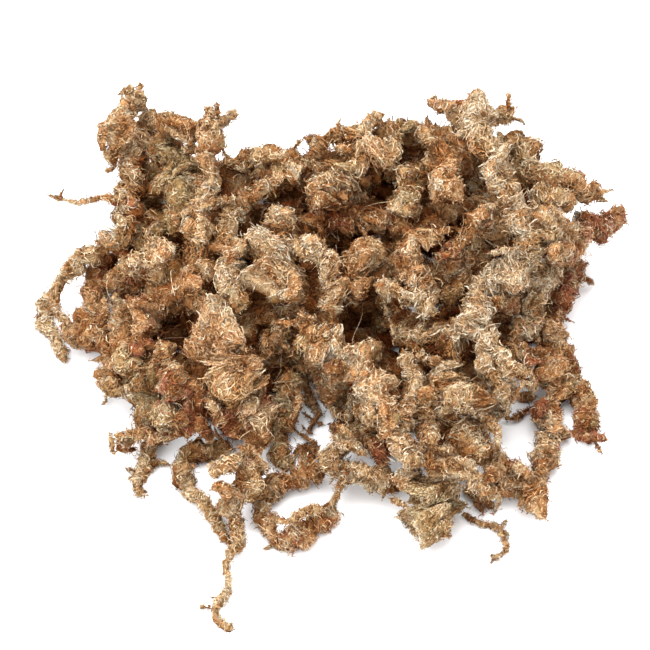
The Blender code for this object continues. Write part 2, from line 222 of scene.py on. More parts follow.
SEED = 7
COLOUR = "moss_colour"
BAKE_MAP = "OFBake"
CORE_MAP_SHARE = 0.22  # part of the bake's map that the core takes; the leaves share the rest

# Linear colours of the leaves
TINTS = np.array([
    (0.77, 0.70, 0.55),  # pale
    (0.77, 0.65, 0.45),  # straw
    (0.74, 0.50, 0.29),  # orange
    (0.50, 0.29, 0.14),  # brown
    (0.58, 0.49, 0.30),  # grey green
    (0.42, 0.17, 0.10),  # dark red
])
TINT_NAMES = ("pale", "straw", "orange", "brown", "green", "red")
PALENESS = (1, 0.6, -0.1, -1, -0.3, -1)  # how pale each one is
TILT = 0.9  # how much the mixes change between pale and dark parts of the clump
DRIFTS = (  # lengths of the waves between those parts, in metres, and their ways
    (0.031, (1, 0.4, 0)), (0.023, (-0.5, 1, 0.3)), (0.047, (0.3, 1, -0.5)), (0.017, (1, -0.8, 0.6)),
)
DRIFT_PHASE = 40  # shifts the waves apart, in radians for each metre of their length
DRIFT_HEIGHT = 1.6  # the waves' sum at the palest and the darkest places
ROOT_SHADE = np.array((0.72, 0.56, 0.39))  # painted shade where a leaf meets the strand: what its root keeps of its colour
ROOT_FADE = (0.1, 1.6)  # how far that has gone at the root itself, and how fast it goes to the tip
PAINTED_CREASE_SHADE = np.array((0.07, 0.022, 0.005))  # painted shade: the core's colour in the deepest crease between two tufts
CORE_SHADE = np.array((0.66, 0.52, 0.37))  # painted shade under the leaves: what the core keeps of its tuft's colour at the top of the tuft
OWN_TINT = 0.7  # share of a tuft's leaves that have its own tint
TONES = (0.98, 0.10, 0.11)  # brightness of the tufts: mean, how much paler parts add, and how far it strays
TUFT_TONES = (0.6, 1.12)  # its least and greatest values
LEAF_TONE = 0.10  # how far a leaf's brightness strays from its tuft's
LEAF_TONES = (0.5, 1.0)  # its least and greatest values
DARK_LEAVES, DARK_TONE = 0.04, 0.4  # share of leaves that are dark, and how bright they are
PALE_TIPS = (-0.15, 0.3)  # how far a leaf's tip goes to the palest tint
DENT_LIGHT = 0.55  # painted shade: how bright leaves are in the deepest crease

# The material's fine pattern, besides the leaves' own colours
MOTTLE = (450, 2, 0.5)  # scale, detail and distortion of the noise that makes leaves brighter and darker
MOTTLE_TONES = (0.85, 1.2)  # how much darker and brighter
CREASES = ((760, 2, 0.65), (1900, 1, 0.45))  # scale, detail and depth of the large and small creases
CREASE_DISTORTION = 0.8
CREASE_REACH = 0.16  # how far the noise goes either way from a crease to full depth
PIT_SHADE = (0.42, 0.25, 0.13, 1)  # painted shade in the pits between creases: what they keep of the colour
PIT_START = 0.2  # depth at which they begin to show
ROUGHNESS = (0.78, 1)
BUMP_STRENGTH, BUMP_DEPTH = 0.8, 0.0004  # the depth in metres
SPECULAR = 0.12

# Small strands that the photograph shows between the large ones: the finish, whether it lies on the clump or
# under it, and its route, as x, y and half-width in the photograph's pixels
ACCENTS = [
    ("tan", "on", [(338, 360, 9), (335, 376, 11), (333, 392, 10), (328, 404, 7)]),
    ("cream", "on", [(328, 399, 2), (334, 412, 4), (345, 418, 4), (352, 412, 4), (352, 400, 3),
                     (348, 393, 2)]),
    ("straw", "on", [(352, 394, 4), (358, 408, 6), (364, 424, 6), (367, 440, 4)]),
    ("tan", "on", [(368, 400, 4), (370, 414, 6), (374, 430, 6)]),
    ("umber", "under", [(330, 424, 6), (342, 430, 10), (356, 434, 10)]),
    ("olive", "on", [(338, 424, 6), (348, 432, 8), (358, 440, 8)]),
    ("cream", "on", [(337, 470, 4), (331, 459, 4), (335, 447, 5), (346, 442, 5), (358, 446, 5),
                     (366, 453, 4)]),
    ("rust", "on", [(367, 438, 6), (376, 448, 9), (385, 457, 8), (380, 466, 5)]),
    ("cream", "on", [(391, 432, 7), (398, 446, 10), (408, 456, 10), (420, 462, 8)]),
    ("straw", "on", [(350, 466, 5), (366, 470, 7), (384, 473, 8), (398, 476, 6)]),
    ("straw", "on", [(345, 466, 3), (342, 480, 4), (337, 494, 4), (326, 505, 3)]),
    # The rust and umber strands under the clump in the next lines, in the gap low in its middle, are partly
    # painted shade: they darken that shaded gap
    ("rust", "under", [(296, 430, 1), (304, 436, 2), (312, 440, 2), (318, 446, 1)]),
    ("rust", "under", [(302, 424, 1), (308, 432, 1), (316, 434, 1)]),
    ("umber", "under", [(320, 408, 2), (316, 418, 3), (309, 431, 2)]),
    ("umber", "under", [(294, 452, 6), (304, 446, 7), (316, 452, 6), (326, 458, 5)]),
    ("tan", "on", [(296, 386, 3), (300, 398, 4), (298, 410, 4), (292, 424, 3)]),
    ("umber", "under", [(301, 370, 4), (306, 386, 5), (311, 398, 4), (316, 408, 3)]),
    ("tan", "under", [(311, 370, 4), (318, 384, 5), (323, 398, 4)]),
    ("umber", "under", [(298, 390, 1), (308, 404, 1), (322, 414, 1)]),
    ("umber", "under", [(304, 412, 1), (312, 420, 1), (324, 424, 1)]),
    ("umber", "under", [(106, 390, 1), (109, 397, 1), (110, 402, 1), (102, 405, 1)]),
    ("olive", "on", [(146, 412, 10), (160, 414, 13), (176, 416, 11), (190, 422, 8)]),
    ("umber", "under", [(166, 394, 8), (170, 408, 10), (172, 424, 8)]),
    ("tan", "on", [(109, 433, 2), (112, 442, 4), (117, 453, 3)]),
    ("tan", "on", [(113, 434, 2), (124, 436, 5), (136, 431, 6), (146, 437, 5)]),
    ("straw", "under", [(152, 444, 3), (150, 456, 3), (147, 467, 4), (140, 476, 4), (144, 491, 1)]),
    ("straw", "under", [(149, 464, 3), (161, 460, 2), (171, 464, 2)]),
    ("straw", "under", [(146, 470, 2), (136, 471, 2), (128, 467, 1)]),
    ("straw", "under", [(142, 474, 2), (136, 478, 2), (131, 479, 1)]),
    ("straw", "on", [(213, 474, 6), (222, 466, 8), (233, 458, 9), (246, 452, 8)]),
    ("tan", "on", [(212, 486, 5), (222, 482, 7), (232, 490, 7), (229, 499, 5)]),
    ("umber", "under", [(205, 424, 0.5), (214, 431, 0.5), (223, 441, 0.5)]),
    ("umber", "under", [(214, 416, 0.5), (216, 432, 0.5), (231, 446, 0.5)]),
    ("umber", "under", [(210, 436, 0.5), (222, 432, 0.5), (234, 436, 0.5)]),
    ("rust", "on", [(198, 416, 6), (207, 430, 7), (213, 440, 5)]),
    ("tan", "on", [(240, 445, 5), (249, 448, 6), (258, 451, 4)]),
    ("straw", "under", [(200, 500, 3), (211, 514, 4), (222, 528, 4), (231, 542, 3)]),
    ("straw", "under", [(243, 514, 4), (249, 526, 5), (246, 540, 4), (236, 553, 2)]),
    ("cream", "on", [(476, 352, 6), (484, 368, 8), (496, 382, 8), (500, 398, 7), (503, 414, 4)]),
    ("tan", "on", [(504, 360, 6), (512, 370, 6), (516, 378, 4)]),
    ("cream", "on", [(516, 396, 2), (514, 387, 2), (520, 381, 2), (528, 386, 2), (532, 395, 2)]),
    ("tan", "under", [(514, 396, 4), (524, 397, 6), (534, 396, 5)]),
    ("peach", "on", [(517, 364, 5), (525, 376, 7), (535, 388, 6)]),
    ("rust", "on", [(541, 398, 4), (538, 407, 8), (535, 417, 6)]),
    ("tan", "under", [(532, 405, 2), (520, 414, 3), (509, 421, 3), (502, 417, 2)]),
    ("rust", "on", [(568, 430, 4), (580, 436, 6), (593, 436, 6), (604, 439, 4)]),
    ("rust", "on", [(590, 438, 3), (595, 445, 2), (599, 452, 1)]),
    ("tan", "on", [(484, 478, 5), (493, 468, 8), (506, 463, 8), (518, 466, 8), (527, 476, 7)]),
    ("cream", "on", [(446, 402, 4), (462, 406, 6), (476, 411, 6), (487, 419, 6),
                     (495, 430, 6), (500, 443, 4), (492, 456, 2)]),
    ("straw", "under", [(462, 486, 5), (474, 490, 6), (486, 499, 6), (491, 507, 3)]),
    ("cream", "on", [(470, 483, 1), (481, 484, 1), (490, 486, 1), (496, 493, 1), (497, 501, 1),
                     (491, 510, 1)]),
    ("rust", "under", [(468, 486, 3), (473, 498, 3), (480, 510, 2)]),
    ("straw", "under", [(495, 529, 2), (503, 528, 2), (506, 532, 1)]),
    ("straw", "under", [(497, 526, 2), (502, 520, 1), (504, 516, 1)]),
    ("straw", "on", [(528, 196, 10), (545, 198, 13), (560, 202, 13), (575, 204, 9)]),
    ("rust", "on", [(556, 178, 10), (568, 178, 13), (580, 188, 12), (584, 200, 7)]),
    ("tan", "on", [(530, 216, 9), (546, 222, 12), (562, 228, 12), (576, 236, 9)]),
    ("cream", "on", [(540, 232, 7), (556, 238, 9), (572, 240, 7)]),
    ("rust", "on", [(545, 250, 8), (560, 254, 11), (574, 252, 9), (584, 246, 5)]),
    ("straw", "on", [(588, 200, 3), (598, 197, 3), (611, 192, 1)]),
    ("tan", "on", [(572, 270, 3), (580, 267, 3), (589, 263, 1)]),
    ("straw", "on", [(574, 276, 4), (584, 277, 4), (594, 284, 1)]),
    ("rust", "on", [(574, 266, 6), (566, 280, 10), (562, 296, 11), (566, 310, 8)]),
    ("rust", "on", [(488, 300, 7), (502, 303, 9), (516, 307, 7)]),
    ("umber", "under", [(440, 308, 8), (452, 311, 10), (464, 314, 8)]),
    ("rust", "on", [(98, 284, 7), (113, 283, 9), (128, 285, 9), (144, 288, 7)]),
    ("rust", "on", [(104, 298, 5), (105, 312, 6), (103, 326, 5)]),
    ("straw", "on", [(57, 303, 4), (64, 315, 6), (71, 327, 5)]),
    ("tan", "on", [(63, 333, 4), (72, 341, 6), (82, 347, 5)]),
    ("peach", "on", [(338, 197, 5), (353, 198, 6), (369, 199, 5)]),
    ("tan", "on", [(277, 310, 5), (290, 312, 7), (301, 308, 5)]),
    ("peach", "on", [(104, 122, 4), (101, 138, 6), (105, 153, 5)]),
    ("straw", "on", [(118, 94, 4), (127, 90, 5), (134, 87, 3)]),
    ("straw", "on", [(499, 113, 4), (511, 119, 5), (521, 125, 3)]),
    ("olive", "on", [(152, 139, 4), (153, 151, 5), (153, 163, 4)]),
    ("straw", "on", [(183, 148, 4), (191, 150, 6), (199, 152, 4)]),
    ("umber", "under", [(250, 203, 6), (258, 210, 8), (264, 219, 6)]),
    ("umber", "under", [(392, 384, 7), (397, 396, 8), (400, 407, 6)]),
    ("umber", "under", [(356, 330, 8), (366, 338, 9), (376, 346, 7)]),
    ("tan", "on", [(436, 446, 5), (446, 450, 6), (457, 454, 5)]),
    ("straw", "on", [(387, 496, 4), (396, 500, 5), (405, 503, 4)]),
    ("cream", "on", [(489, 254, 3), (501, 251, 4), (512, 249, 2)]),
    ("olive", "on", [(99, 382, 4), (111, 386, 7), (124, 395, 8)]),
    ("tan", "on", [(268, 522, 5), (274, 509, 5), (284, 514, 7), (297, 510, 8), (311, 506, 7), (323, 506, 4)]),
    ("tan", "on", [(430, 384, 8), (424, 398, 10), (421, 413, 10), (424, 430, 9), (432, 444, 7)]),
    ("cream", "on", [(237, 199, 3), (224, 201, 4), (210, 205, 4), (200, 209, 3), (188, 214, 3),
                     (176, 217, 2)]),
    ("cream", "on", [(163, 127, 3), (176, 134, 4), (190, 143, 2)]),
    ("straw", "on", [(206, 128, 3), (207, 118, 3), (209, 107, 1)]),
    ("straw", "on", [(214, 132, 4), (224, 123, 3), (233, 111, 1)]),
    ("cream", "on", [(383, 301, 1), (386, 310, 1), (389, 319, 1), (385, 326, 1), (380, 332, 1)]),
    ("cream", "on", [(389, 319, 1), (392, 328, 1), (394, 338, 1)]),
    ("rust", "on", [(208, 398, 6), (220, 412, 9), (232, 424, 9), (240, 436, 7)]),
]

# Matted dark strands along the floor that close the gaps between the large ones, darkened further with
# painted
# shade: their y and their first and last x in the photograph, in pixels
UNDERS = [
    (206, 150, 560), (228, 132, 560), (250, 130, 555), (272, 138, 555), (294, 125, 555), (316, 120, 550),
    (338, 125, 545), (360, 140, 296), (360, 328, 520), (382, 160, 290), (382, 332, 480), (404, 172, 282),
    (404, 336, 482), (426, 216, 288), (426, 346, 470), (447, 366, 460), (186, 240, 570), (166, 235, 545),
]
UNDER_WIDTH = 9  # their half-width in pixels
UNDER_STEP = 25  # pixels between their points
UNDER_WAVE = (6, 17)  # how far they go up and down, and the pixels for each radian of that
UNDER_OPENNESS = 0.35  # how open they are

# Places beyond the photograph's outline, where the strands are drawn in: x, y and radius in pixels
NIPS = [
    (108, 236, 7), (62, 292, 8), (136, 486, 7), (226, 612, 6), (578, 158, 7), (630, 218, 6), (534, 134, 7),
    (440, 556, 16), (424, 552, 12), (375, 528, 9), (285, 508, 8), (208, 562, 8), (245, 586, 8),
    (45, 285, 7), (195, 520, 24), (250, 138, 26), (228, 566, 26), (96, 226, 18), (260, 536, 20),
    (558, 476, 24), (214, 614, 16), (534, 139, 14), (592, 209, 12), (78, 294, 18), (607, 196, 14),
    (437, 122, 18), (288, 494, 14), (46, 342, 18), (314, 543, 18), (597, 400, 20), (427, 543, 14),
    (243, 506, 9), (106, 436, 13), (370, 494, 14), (394, 518, 12), (570, 330, 16), (507, 440, 14),
    (202, 479, 11), (193, 109, 12), (77, 192, 20), (270, 555, 16), (432, 560, 30), (382, 520, 22),
    (288, 502, 14), (226, 574, 26), (76, 298, 20), (50, 288, 20), (221, 614, 14), (231, 146, 18),
    (105, 228, 16), (607, 209, 16), (280, 144, 18), (150, 484, 20), (185, 501, 16), (257, 528, 12),
    (182, 440, 12), (516, 124, 12), (198, 106, 16), (168, 111, 12), (605, 186, 12), (96, 364, 12),
]

# Places where one colour prevails: x, y and radius in pixels, the colour, and its share there
STAINS = [
    (575, 285, 17, "red", 0.5), (562, 302, 12, "red", 0.4), (586, 434, 15, "red", 0.7),
    (537, 409, 9, "red", 0.8), (536, 356, 11, "red", 0.6), (612, 222, 12, "red", 0.5),
    (590, 232, 12, "red", 0.35), (185, 412, 18, "red", 0.3), (452, 256, 12, "red", 0.35),
    (382, 452, 9, "red", 0.6), (228, 426, 9, "red", 0.5), (327, 212, 14, "red", 0.3),
    (548, 334, 18, "orange", 0.6), (552, 366, 16, "orange", 0.5), (574, 186, 18, "orange", 0.6),
    (127, 120, 13, "orange", 0.8), (124, 332, 22, "orange", 0.5), (434, 218, 22, "orange", 0.7),
    (281, 236, 13, "orange", 0.5), (352, 276, 20, "orange", 0.5), (212, 264, 18, "orange", 0.5),
    (274, 322, 14, "orange", 0.6), (232, 356, 20, "orange", 0.4), (415, 270, 14, "orange", 0.5),
    (160, 300, 20, "brown", 0.5), (190, 380, 18, "brown", 0.5), (360, 225, 25, "brown", 0.4),
    (340, 352, 22, "pale", 0.4), (418, 298, 16, "pale", 0.6), (272, 280, 16, "pale", 0.4),
    (508, 240, 22, "pale", 0.5), (490, 320, 18, "pale", 0.5), (478, 110, 14, "pale", 0.4),
    (170, 180, 22, "green", 0.5), (230, 300, 16, "green", 0.3), (560, 160, 20, "green", 0.4),
    (425, 505, 22, "green", 0.4), (150, 400, 18, "green", 0.4), (95, 345, 16, "brown", 0.4),
]

# How often each of those colours comes in each finish, and how bright that finish is
MIXES = {
    "cream": (0.58, 0.28, 0.11, 0.02, 0.01, 0.00),
    "straw": (0.36, 0.42, 0.11, 0.04, 0.06, 0.01),
    "tan": (0.14, 0.38, 0.22, 0.19, 0.05, 0.02),
    "peach": (0.20, 0.22, 0.45, 0.10, 0.01, 0.02),
    "ochre": (0.20, 0.30, 0.40, 0.07, 0.02, 0.01),
    "olive": (0.12, 0.30, 0.06, 0.16, 0.35, 0.01),
    "rust": (0.04, 0.14, 0.28, 0.36, 0.02, 0.16),
    "umber": (0.02, 0.12, 0.16, 0.58, 0.08, 0.04),
}
# The umber finish, of strands deep in the clump and along the floor, is dark brown and darker still as
# painted shade
BRIGHTNESS = {
    "cream": 1.04, "straw": 1.02, "tan": 1.0, "peach": 1.02,
    "ochre": 1.02, "olive": 0.94, "rust": 0.9, "umber": 0.68,
}


def unit(vectors):
    """The vectors, each scaled to length 1."""
    return vectors / np.maximum(np.linalg.norm(vectors, axis=-1, keepdims=True), 1e-12)


def wave(s, length, rng):
    """Smooth noise of about -1 to 1 along s, with bumps of about that length."""
    total = 0
    for pitch in (1.0, 0.62, 1.7):
        total = total + np.sin(2 * math.pi * s / (length * pitch) + rng.uniform(0, 2 * math.pi))
    return total / 2


def spread_along(s, spread, rng):
    """A measure that goes up and down along s: the spread holds its waves' length, its mean and its depth."""
    length, mean, depth = spread
    return mean + depth * wave(s, length, rng)


def smoothed(table):
    """A table's values, each mixed with those beside it in its row, which runs round the strand."""
    return (np.roll(table, 1, axis=1) + 2 * table + np.roll(table, -1, axis=1)) / 4


def smooth_rows(table):
    """Mixes each row of a table with those before and after it, in place, but for the first and last one."""
    table[1:-1] = (table[:-2] + 2 * table[1:-1] + table[2:]) / 4


def half_turn(angle):
    """The angle brought between half a turn either way."""
    return (angle + math.pi) % (2 * math.pi) - math.pi


def mesh_points(mesh):
    """A mesh's vertices, welded by place, its triangles, and the pairs of vertices that these join."""
    places = np.zeros(len(mesh.vertices) * 3)
    mesh.vertices.foreach_get("co", places)
    places, same = np.unique(places.reshape(-1, 3).round(6), axis=0, return_inverse=True)
    mesh.calc_loop_triangles()
    corners = np.zeros(len(mesh.loop_triangles) * 3, int)
    mesh.loop_triangles.foreach_get("vertices", corners)
    corners = same.reshape(-1)[corners].reshape(-1, 3)
    pairs = np.vstack([corners[:, [0, 1]], corners[:, [1, 2]], corners[:, [2, 0]]])
    return places, corners, np.unique(np.sort(pairs, axis=1), axis=0)


def spine_of(mesh):
    """Rows of x, y, z and radius along the middle of a tube-shaped mesh.

    The slowest wave that fits the mesh runs from one end to the other, so its height tells how far along
    the tube each vertex is.
    """
    places, _, pairs = mesh_points(mesh)
    first, second = pairs.T
    stiffness = 1 / np.maximum(((places[first] - places[second]) ** 2).sum(axis=1), 1e-9)
    graph = np.zeros((len(places), len(places)))
    np.add.at(graph, (first, second), -stiffness)
    np.add.at(graph, (second, first), -stiffness)
    graph[np.diag_indices(len(places))] = -graph.sum(axis=1)
    slowest = np.linalg.eigh(graph)[1][:, 1]
    slowest = np.where(slowest > 0, slowest / slowest.max(), slowest / -slowest.min())
    along = np.arccos(np.clip(slowest, -1, 1)) / math.pi
    rings = max(4, round(len(places) / RING_POINTS))
    wanted = np.linspace(0, 1, rings)
    weights = np.exp(-(((along[None, :] - wanted[:, None]) * rings / RING_WIDTH) ** 2)) + 1e-12
    weights /= weights.sum(axis=1, keepdims=True)
    middle = weights @ places
    axis = unit(np.gradient(middle, axis=0))
    offset = places[None, :, :] - middle[:, None, :]
    offset -= (offset * axis[:, None, :]).sum(axis=2, keepdims=True) * axis[:, None, :]
    radius = (weights * np.linalg.norm(offset, axis=2)).sum(axis=1)
    return np.column_stack([middle, radius])


def all_solids():
    """The solids of every strand, to look for what hides a place."""
    places, faces, count = [], [], 0
    for name in sorted(frame["nodes"]):
        points, corners, _ = mesh_points(frame["nodes"][name].data)
        places += [Vector(point) for point in points]
        faces += [tuple(int(corner) + count for corner in face) for face in corners]
        count += len(points)
    return BVHTree.FromPolygons(places, faces)


def directions(count):
    """Directions spread evenly over a ball, without those that look down into the surface."""
    height = 1 - 2 * (np.arange(count) + 0.5) / count
    turn = math.pi * (1 + math.sqrt(5)) * np.arange(count)
    flat = np.sqrt(1 - height**2)
    ball = np.column_stack([flat * np.cos(turn), flat * np.sin(turn), height])
    return ball[height > LOWEST_WAY]


def picture_points(x, y):
    """Points on the plane through the picture's middle that faces the camera, for the photograph's pixels."""
    across, up = (x - PICTURE_SIZE / 2) * PIXEL, (PICTURE_SIZE / 2 - y) * PIXEL
    return np.array(PICTURE_MIDDLE) + np.stack([across, up * PICTURE_UP[1], up * PICTURE_UP[2]], axis=-1)


def picture_pixels(points):
    """The photograph's pixels that points of the clump are seen at."""
    offset = points - np.array(PICTURE_MIDDLE)
    return PICTURE_SIZE / 2 + offset[..., 0] / PIXEL, PICTURE_SIZE / 2 - offset @ PICTURE_UP / PIXEL


def accent_rows(level, route, solids):
    """The rows of a small strand, on the clump or under it along a route over the photograph."""
    route = np.array(route, float)
    steps = np.hypot(*np.diff(route[:, :2], axis=0).T)
    reach = np.concatenate([[0], steps.cumsum()])
    even = np.linspace(0, reach[-1], max(5, round(reach[-1] / ACCENT_STEP) + 1))
    x, y, half_width = (np.interp(even, reach, column) for column in route.T)
    near = []
    for pixel in zip(x, y):
        to_floor = (picture_points(*pixel) - VIEW_WAY * ACCENT_START)[2] / -VIEW_WAY[2]
        hits = []
        if level == "on":
            starts = [picture_points(pixel[0] + right, pixel[1] + down) - VIEW_WAY * ACCENT_START
                      for right, down in SEARCH]
            hits = [solids.ray_cast(Vector(start), Vector(VIEW_WAY))[3] for start in starts]
        near.append(min(next(filter(None, hits), math.inf), to_floor))
    ahead = np.array([min(near[max(0, k - 2):k + 3]) for k in range(len(near))])
    ahead = np.convolve(np.pad(ahead, 1, "edge"), (0.25, 0.5, 0.25), "valid")
    radius = half_width * PIXEL
    lift = ACCENT_RISE * radius + ACCENT_LIFT
    places = picture_points(x, y) + VIEW_WAY * (ahead - ACCENT_START - lift)[:, None]
    places[:, 2] = np.maximum(places[:, 2], ACCENT_CLEAR * radius)
    return np.column_stack([places, radius])


def floor_strands():
    """The dark strands along the floor, written as the small strands are; they are deep, for the darkest
    painted shade.
    """
    rise, pitch = UNDER_WAVE
    strands = []
    for height, left, right in UNDERS:
        x = np.linspace(left, right, max(3, round((right - left) / UNDER_STEP)))
        y = height + rise * np.sin(x / pitch + height)
        strands.append(("umber", "deep", np.column_stack([x, y, np.full(len(x), UNDER_WIDTH)])))
    return strands


def place_accents(solids):
    """For each node, the small strands nearest to it: their finish, their rows, and whether they are deep."""
    points = {node: mesh_points(item.data)[0] for node, item in frame["nodes"].items()}
    carried = {node: [] for node in points}
    for finish, level, route in ACCENTS + floor_strands():
        rows = accent_rows(level, route, solids)
        gaps = {node: np.linalg.norm(rows[:, None, :3] - places, axis=2).min(axis=1).mean()
                for node, places in points.items()}
        carried[min(sorted(gaps), key=gaps.get)].append((finish, rows, level == "deep"))
    return carried


class Strand:
    """A moss shoot: its middle line, and its lumpy surface at any distance along it and angle round it.

    Its tables have a row for each point of its middle line, and a column for each angle round it.
    """

    def __init__(self, rows, seed, share, turns):
        """Rows are x, y, z and radius along the strand; share is the size of its leaves."""
        self.rng = np.random.default_rng(seed)
        self.share = share
        steps = np.linalg.norm(np.diff(rows[:, :3], axis=0), axis=1)
        reach = np.concatenate([[0], steps.cumsum()])
        self.length = reach[-1]
        self.at = np.linspace(0, self.length, max(6, round(self.length / SPINE_STEP) + 1))
        self.step = self.length / (len(self.at) - 1)
        rows = np.column_stack([np.interp(self.at, reach, column) for column in rows.T])
        for _ in range(max(3, round(2 * (SMOOTH_BEND * rows[:, 3].mean() / SPINE_STEP) ** 2))):
            smooth_rows(rows)
        self.middle, self.radius = rows[:, :3], rows[:, 3]
        self.draw_in()
        self.angles = 2 * math.pi * np.arange(turns) / turns
        self.openness, self.brightness, self.facing, self.fit = np.ones((4, len(self.at), turns))
        self.light = 1
        self.find_frames()

    def draw_in(self):
        """Thins the strand and moves it inwards where it would reach beyond the photograph's outline."""
        x, y = picture_pixels(self.middle)
        for spot_x, spot_y, size in NIPS:
            away = np.column_stack([x - spot_x, spot_y - y])
            near = np.exp(-(away**2).sum(axis=1) / size**2)
            away = unit(away) * near[:, None] * NIP_PUSH
            self.radius = self.radius * (1 - (1 - NIP_WIDTH) * near)
            self.middle = self.middle + np.column_stack([away, np.zeros(len(away))])

    def find_frames(self):
        """The directions along and across the strand at each point of its middle line."""
        self.axis = unit(np.gradient(self.middle, axis=0))
        for _ in range(1 + round(2 * (SMOOTH_TURN * self.radius.mean() / SPINE_STEP) ** 2)):
            padded = np.pad(self.axis, ((1, 1), (0, 0)), "edge")
            self.axis = unit(padded[:-2] + 2 * padded[1:-1] + padded[2:])
        side = np.cross(self.axis[0], (0, 0, 1))
        if np.linalg.norm(side) < 0.1:
            side = np.cross(self.axis[0], (0, 1, 0))
        sides = []
        for axis in self.axis:
            side = unit(side - (side @ axis) * axis)
            sides.append(side)
        self.side = np.array(sides)

    def measure(self, own, solids, ways):
        """Tabulates how far its own solid reaches, and how much of its surroundings each place can see."""
        rows = np.arange(0, len(self.at), TABLE_STEP)
        for column in range(0, len(self.angles), TABLE_STEP):
            angle = np.full(len(rows), self.angles[column])
            middles, _, outwards = self.frame(self.at[rows], angle)
            for row, middle, outward in zip(rows, middles, outwards):
                cells = slice(row, row + TABLE_STEP), slice(column, column + TABLE_STEP)
                distance = own.ray_cast(Vector(middle), Vector(outward))[3] or self.radius[row]
                self.fit[cells] = distance / self.radius[row]
                self.look_round(cells, middle + outward * (distance + START_GAP), outward, solids, ways)
        for _ in range(2):
            self.fit = smoothed(self.fit)
        self.fit = np.clip(self.fit, *FIT_RANGE)
        # Painted shade: the less a place sees of its surroundings, the darker its colours are made
        self.light = LIGHT_FLOOR + np.clip(self.brightness, 0, 1 - LIGHT_FLOOR)

    def look_round(self, cells, start, outward, solids, ways):
        """Notes how open some cells are, how bright their painted shade makes them, and whether the camera
        sees them.
        """
        tried = [way for way in ways if way @ outward > GRAZING]
        free = [way for way in tried if solids.ray_cast(Vector(start), Vector(way), SIGHT)[0] is None]
        sky = [way for way in free if start[2] + SIGHT * way[2] > 0]
        above = 1 / max(1, len(tried)) if start[2] > 0 else 0
        openness, brightness = len(sky) * above, len(free) * above
        cover = solids.ray_cast(Vector(start), Vector(-VIEW_WAY))[3] or 0
        away = outward @ VIEW_WAY > 0
        if not away and 0 < cover <= THIN_COVER:
            openness = brightness = COVERED_OPENNESS
        self.openness[cells], self.brightness[cells] = openness, brightness
        self.facing[cells] = BACK_SHARE if away or cover > THIN_COVER else 1

    def wander(self):
        """Kinks the middle line from side to side."""
        for length, depth in WANDERS:
            stray = np.column_stack([wave(self.at, length, self.rng) for _ in range(3)])
            self.middle = self.middle + stray * depth * self.radius[:, None]
        self.middle[:, 2] = np.maximum(self.middle[:, 2], WANDER_CLEAR * self.radius)
        self.find_frames()

    def grow(self):
        """Tabulates the surface: its lobes and waves, the tufts that stand on them, and dents."""
        s, radius = self.at[:, None], self.radius[:, None]
        surface = self.lobes()
        bulk = float(np.clip(self.radius.mean() / FULL_RADIUS, *BULK_RANGE))
        tufts, shade = self.plant_tufts(bulk, surface)
        dents, hollow = self.press_dents(bulk, len(self.tuft_s))
        # Painted shade: darker towards the tufts' edges and in the dents
        self.top = shade * (1 - DENT_SHADE * hollow)
        rounding = np.sqrt(np.minimum(np.minimum(s, self.length - s) / radius + END_OPENING, 1))
        self.relief = (SNUG * surface * self.fit + tufts - dents) * rounding
        self.find_stretch()

    def lobes(self):
        """How far the strand reaches with its lobes alone."""
        rng, s, radius = self.rng, self.at[:, None], self.radius[:, None]
        surface = LEAST_SURFACE * radius * np.ones((1, len(self.angles)))
        count = int(np.clip(round(self.radius.mean() / LOBE_RADIUS), 1, MOST_LOBES))
        for k in range(count):
            at = 2 * math.pi * k / count + spread_along(s, LOBE_TURN, rng)
            offset = radius * spread_along(s, LOBE_OFFSET, rng) * (count > 1)
            size = radius * (spread_along(s, LOBE_SIZE, rng) + LONE_LOBE * (count == 1))
            across = offset * np.sin(self.angles - at)
            reach = offset * np.cos(self.angles - at) + np.sqrt(np.maximum(size**2 - across**2, 0))
            surface = np.maximum(surface, np.where(np.abs(across) < size, reach, 0))
        return surface

    def plant_tufts(self, bulk, surface):
        """Places the tufts, and adds waves to the surface.

        Returns how high the tufts stand, and how bright each place is painted, as shade towards their edges.
        """
        rng, s = self.rng, self.at[:, None]
        count = max(3, round(self.area() / (TUFT_AREA * bulk**BULK_POWER)))
        self.tuft_s = rng.uniform(0, self.length, count)
        self.tuft_angle = rng.uniform(0, 2 * math.pi, count)
        self.tuft_size = rng.uniform(*TUFT_RADIUS, count) * bulk
        for turns in RUGGED_TURNS:
            pitch = 2 * math.pi / rng.uniform(*RUGGED_LENGTH) * rng.choice([-1, 1])
            phase = pitch * s + turns * self.angles + rng.uniform(0, 2 * math.pi)
            surface += RUGGED * self.radius[:, None] * np.sin(phase)
        ahead, around = self.from_tufts(s[..., None], self.angles[:, None], np.arange(count))
        ragged = np.sin(TUFT_CORNERS * np.arctan2(around, ahead) + rng.uniform(0, 2 * math.pi, count))
        apart = np.hypot(ahead, around) / self.tuft_size * (1 + TUFT_RAGGED * ragged)
        cap = self.tuft_size * rng.uniform(*TUFT_HEIGHT, count) * np.sqrt(np.maximum(1 - apart**2, 0))
        self.tuft = apart.argmin(axis=2)
        shade, loss = TUFT_SHADE
        return cap.max(axis=2), np.clip(shade - loss * apart.min(axis=2), LEAST_SHADE, 1)

    def press_dents(self, bulk, tufts):
        """How deep the dents are at each place, and how near it is to the middle of one, from 0 to 1."""
        rng, s, radius = self.rng, self.at[:, None], self.radius[:, None]
        count = max(1, round(DENTS * tufts))
        size = DENT_SIZE * rng.uniform(*TUFT_RADIUS, count) * bulk
        turn = half_turn(self.angles[:, None] - rng.uniform(0, 2 * math.pi, count))
        apart = np.hypot(s[..., None] - rng.uniform(0, self.length, count), turn * radius[..., None]) / size
        depth = (size * rng.uniform(*DENT_DEPTH, count) * np.maximum(1 - apart**2, 0)).max(axis=2)
        return np.minimum(depth, MOST_DENT * radius), np.clip(1 - apart.min(axis=2), 0, 1)

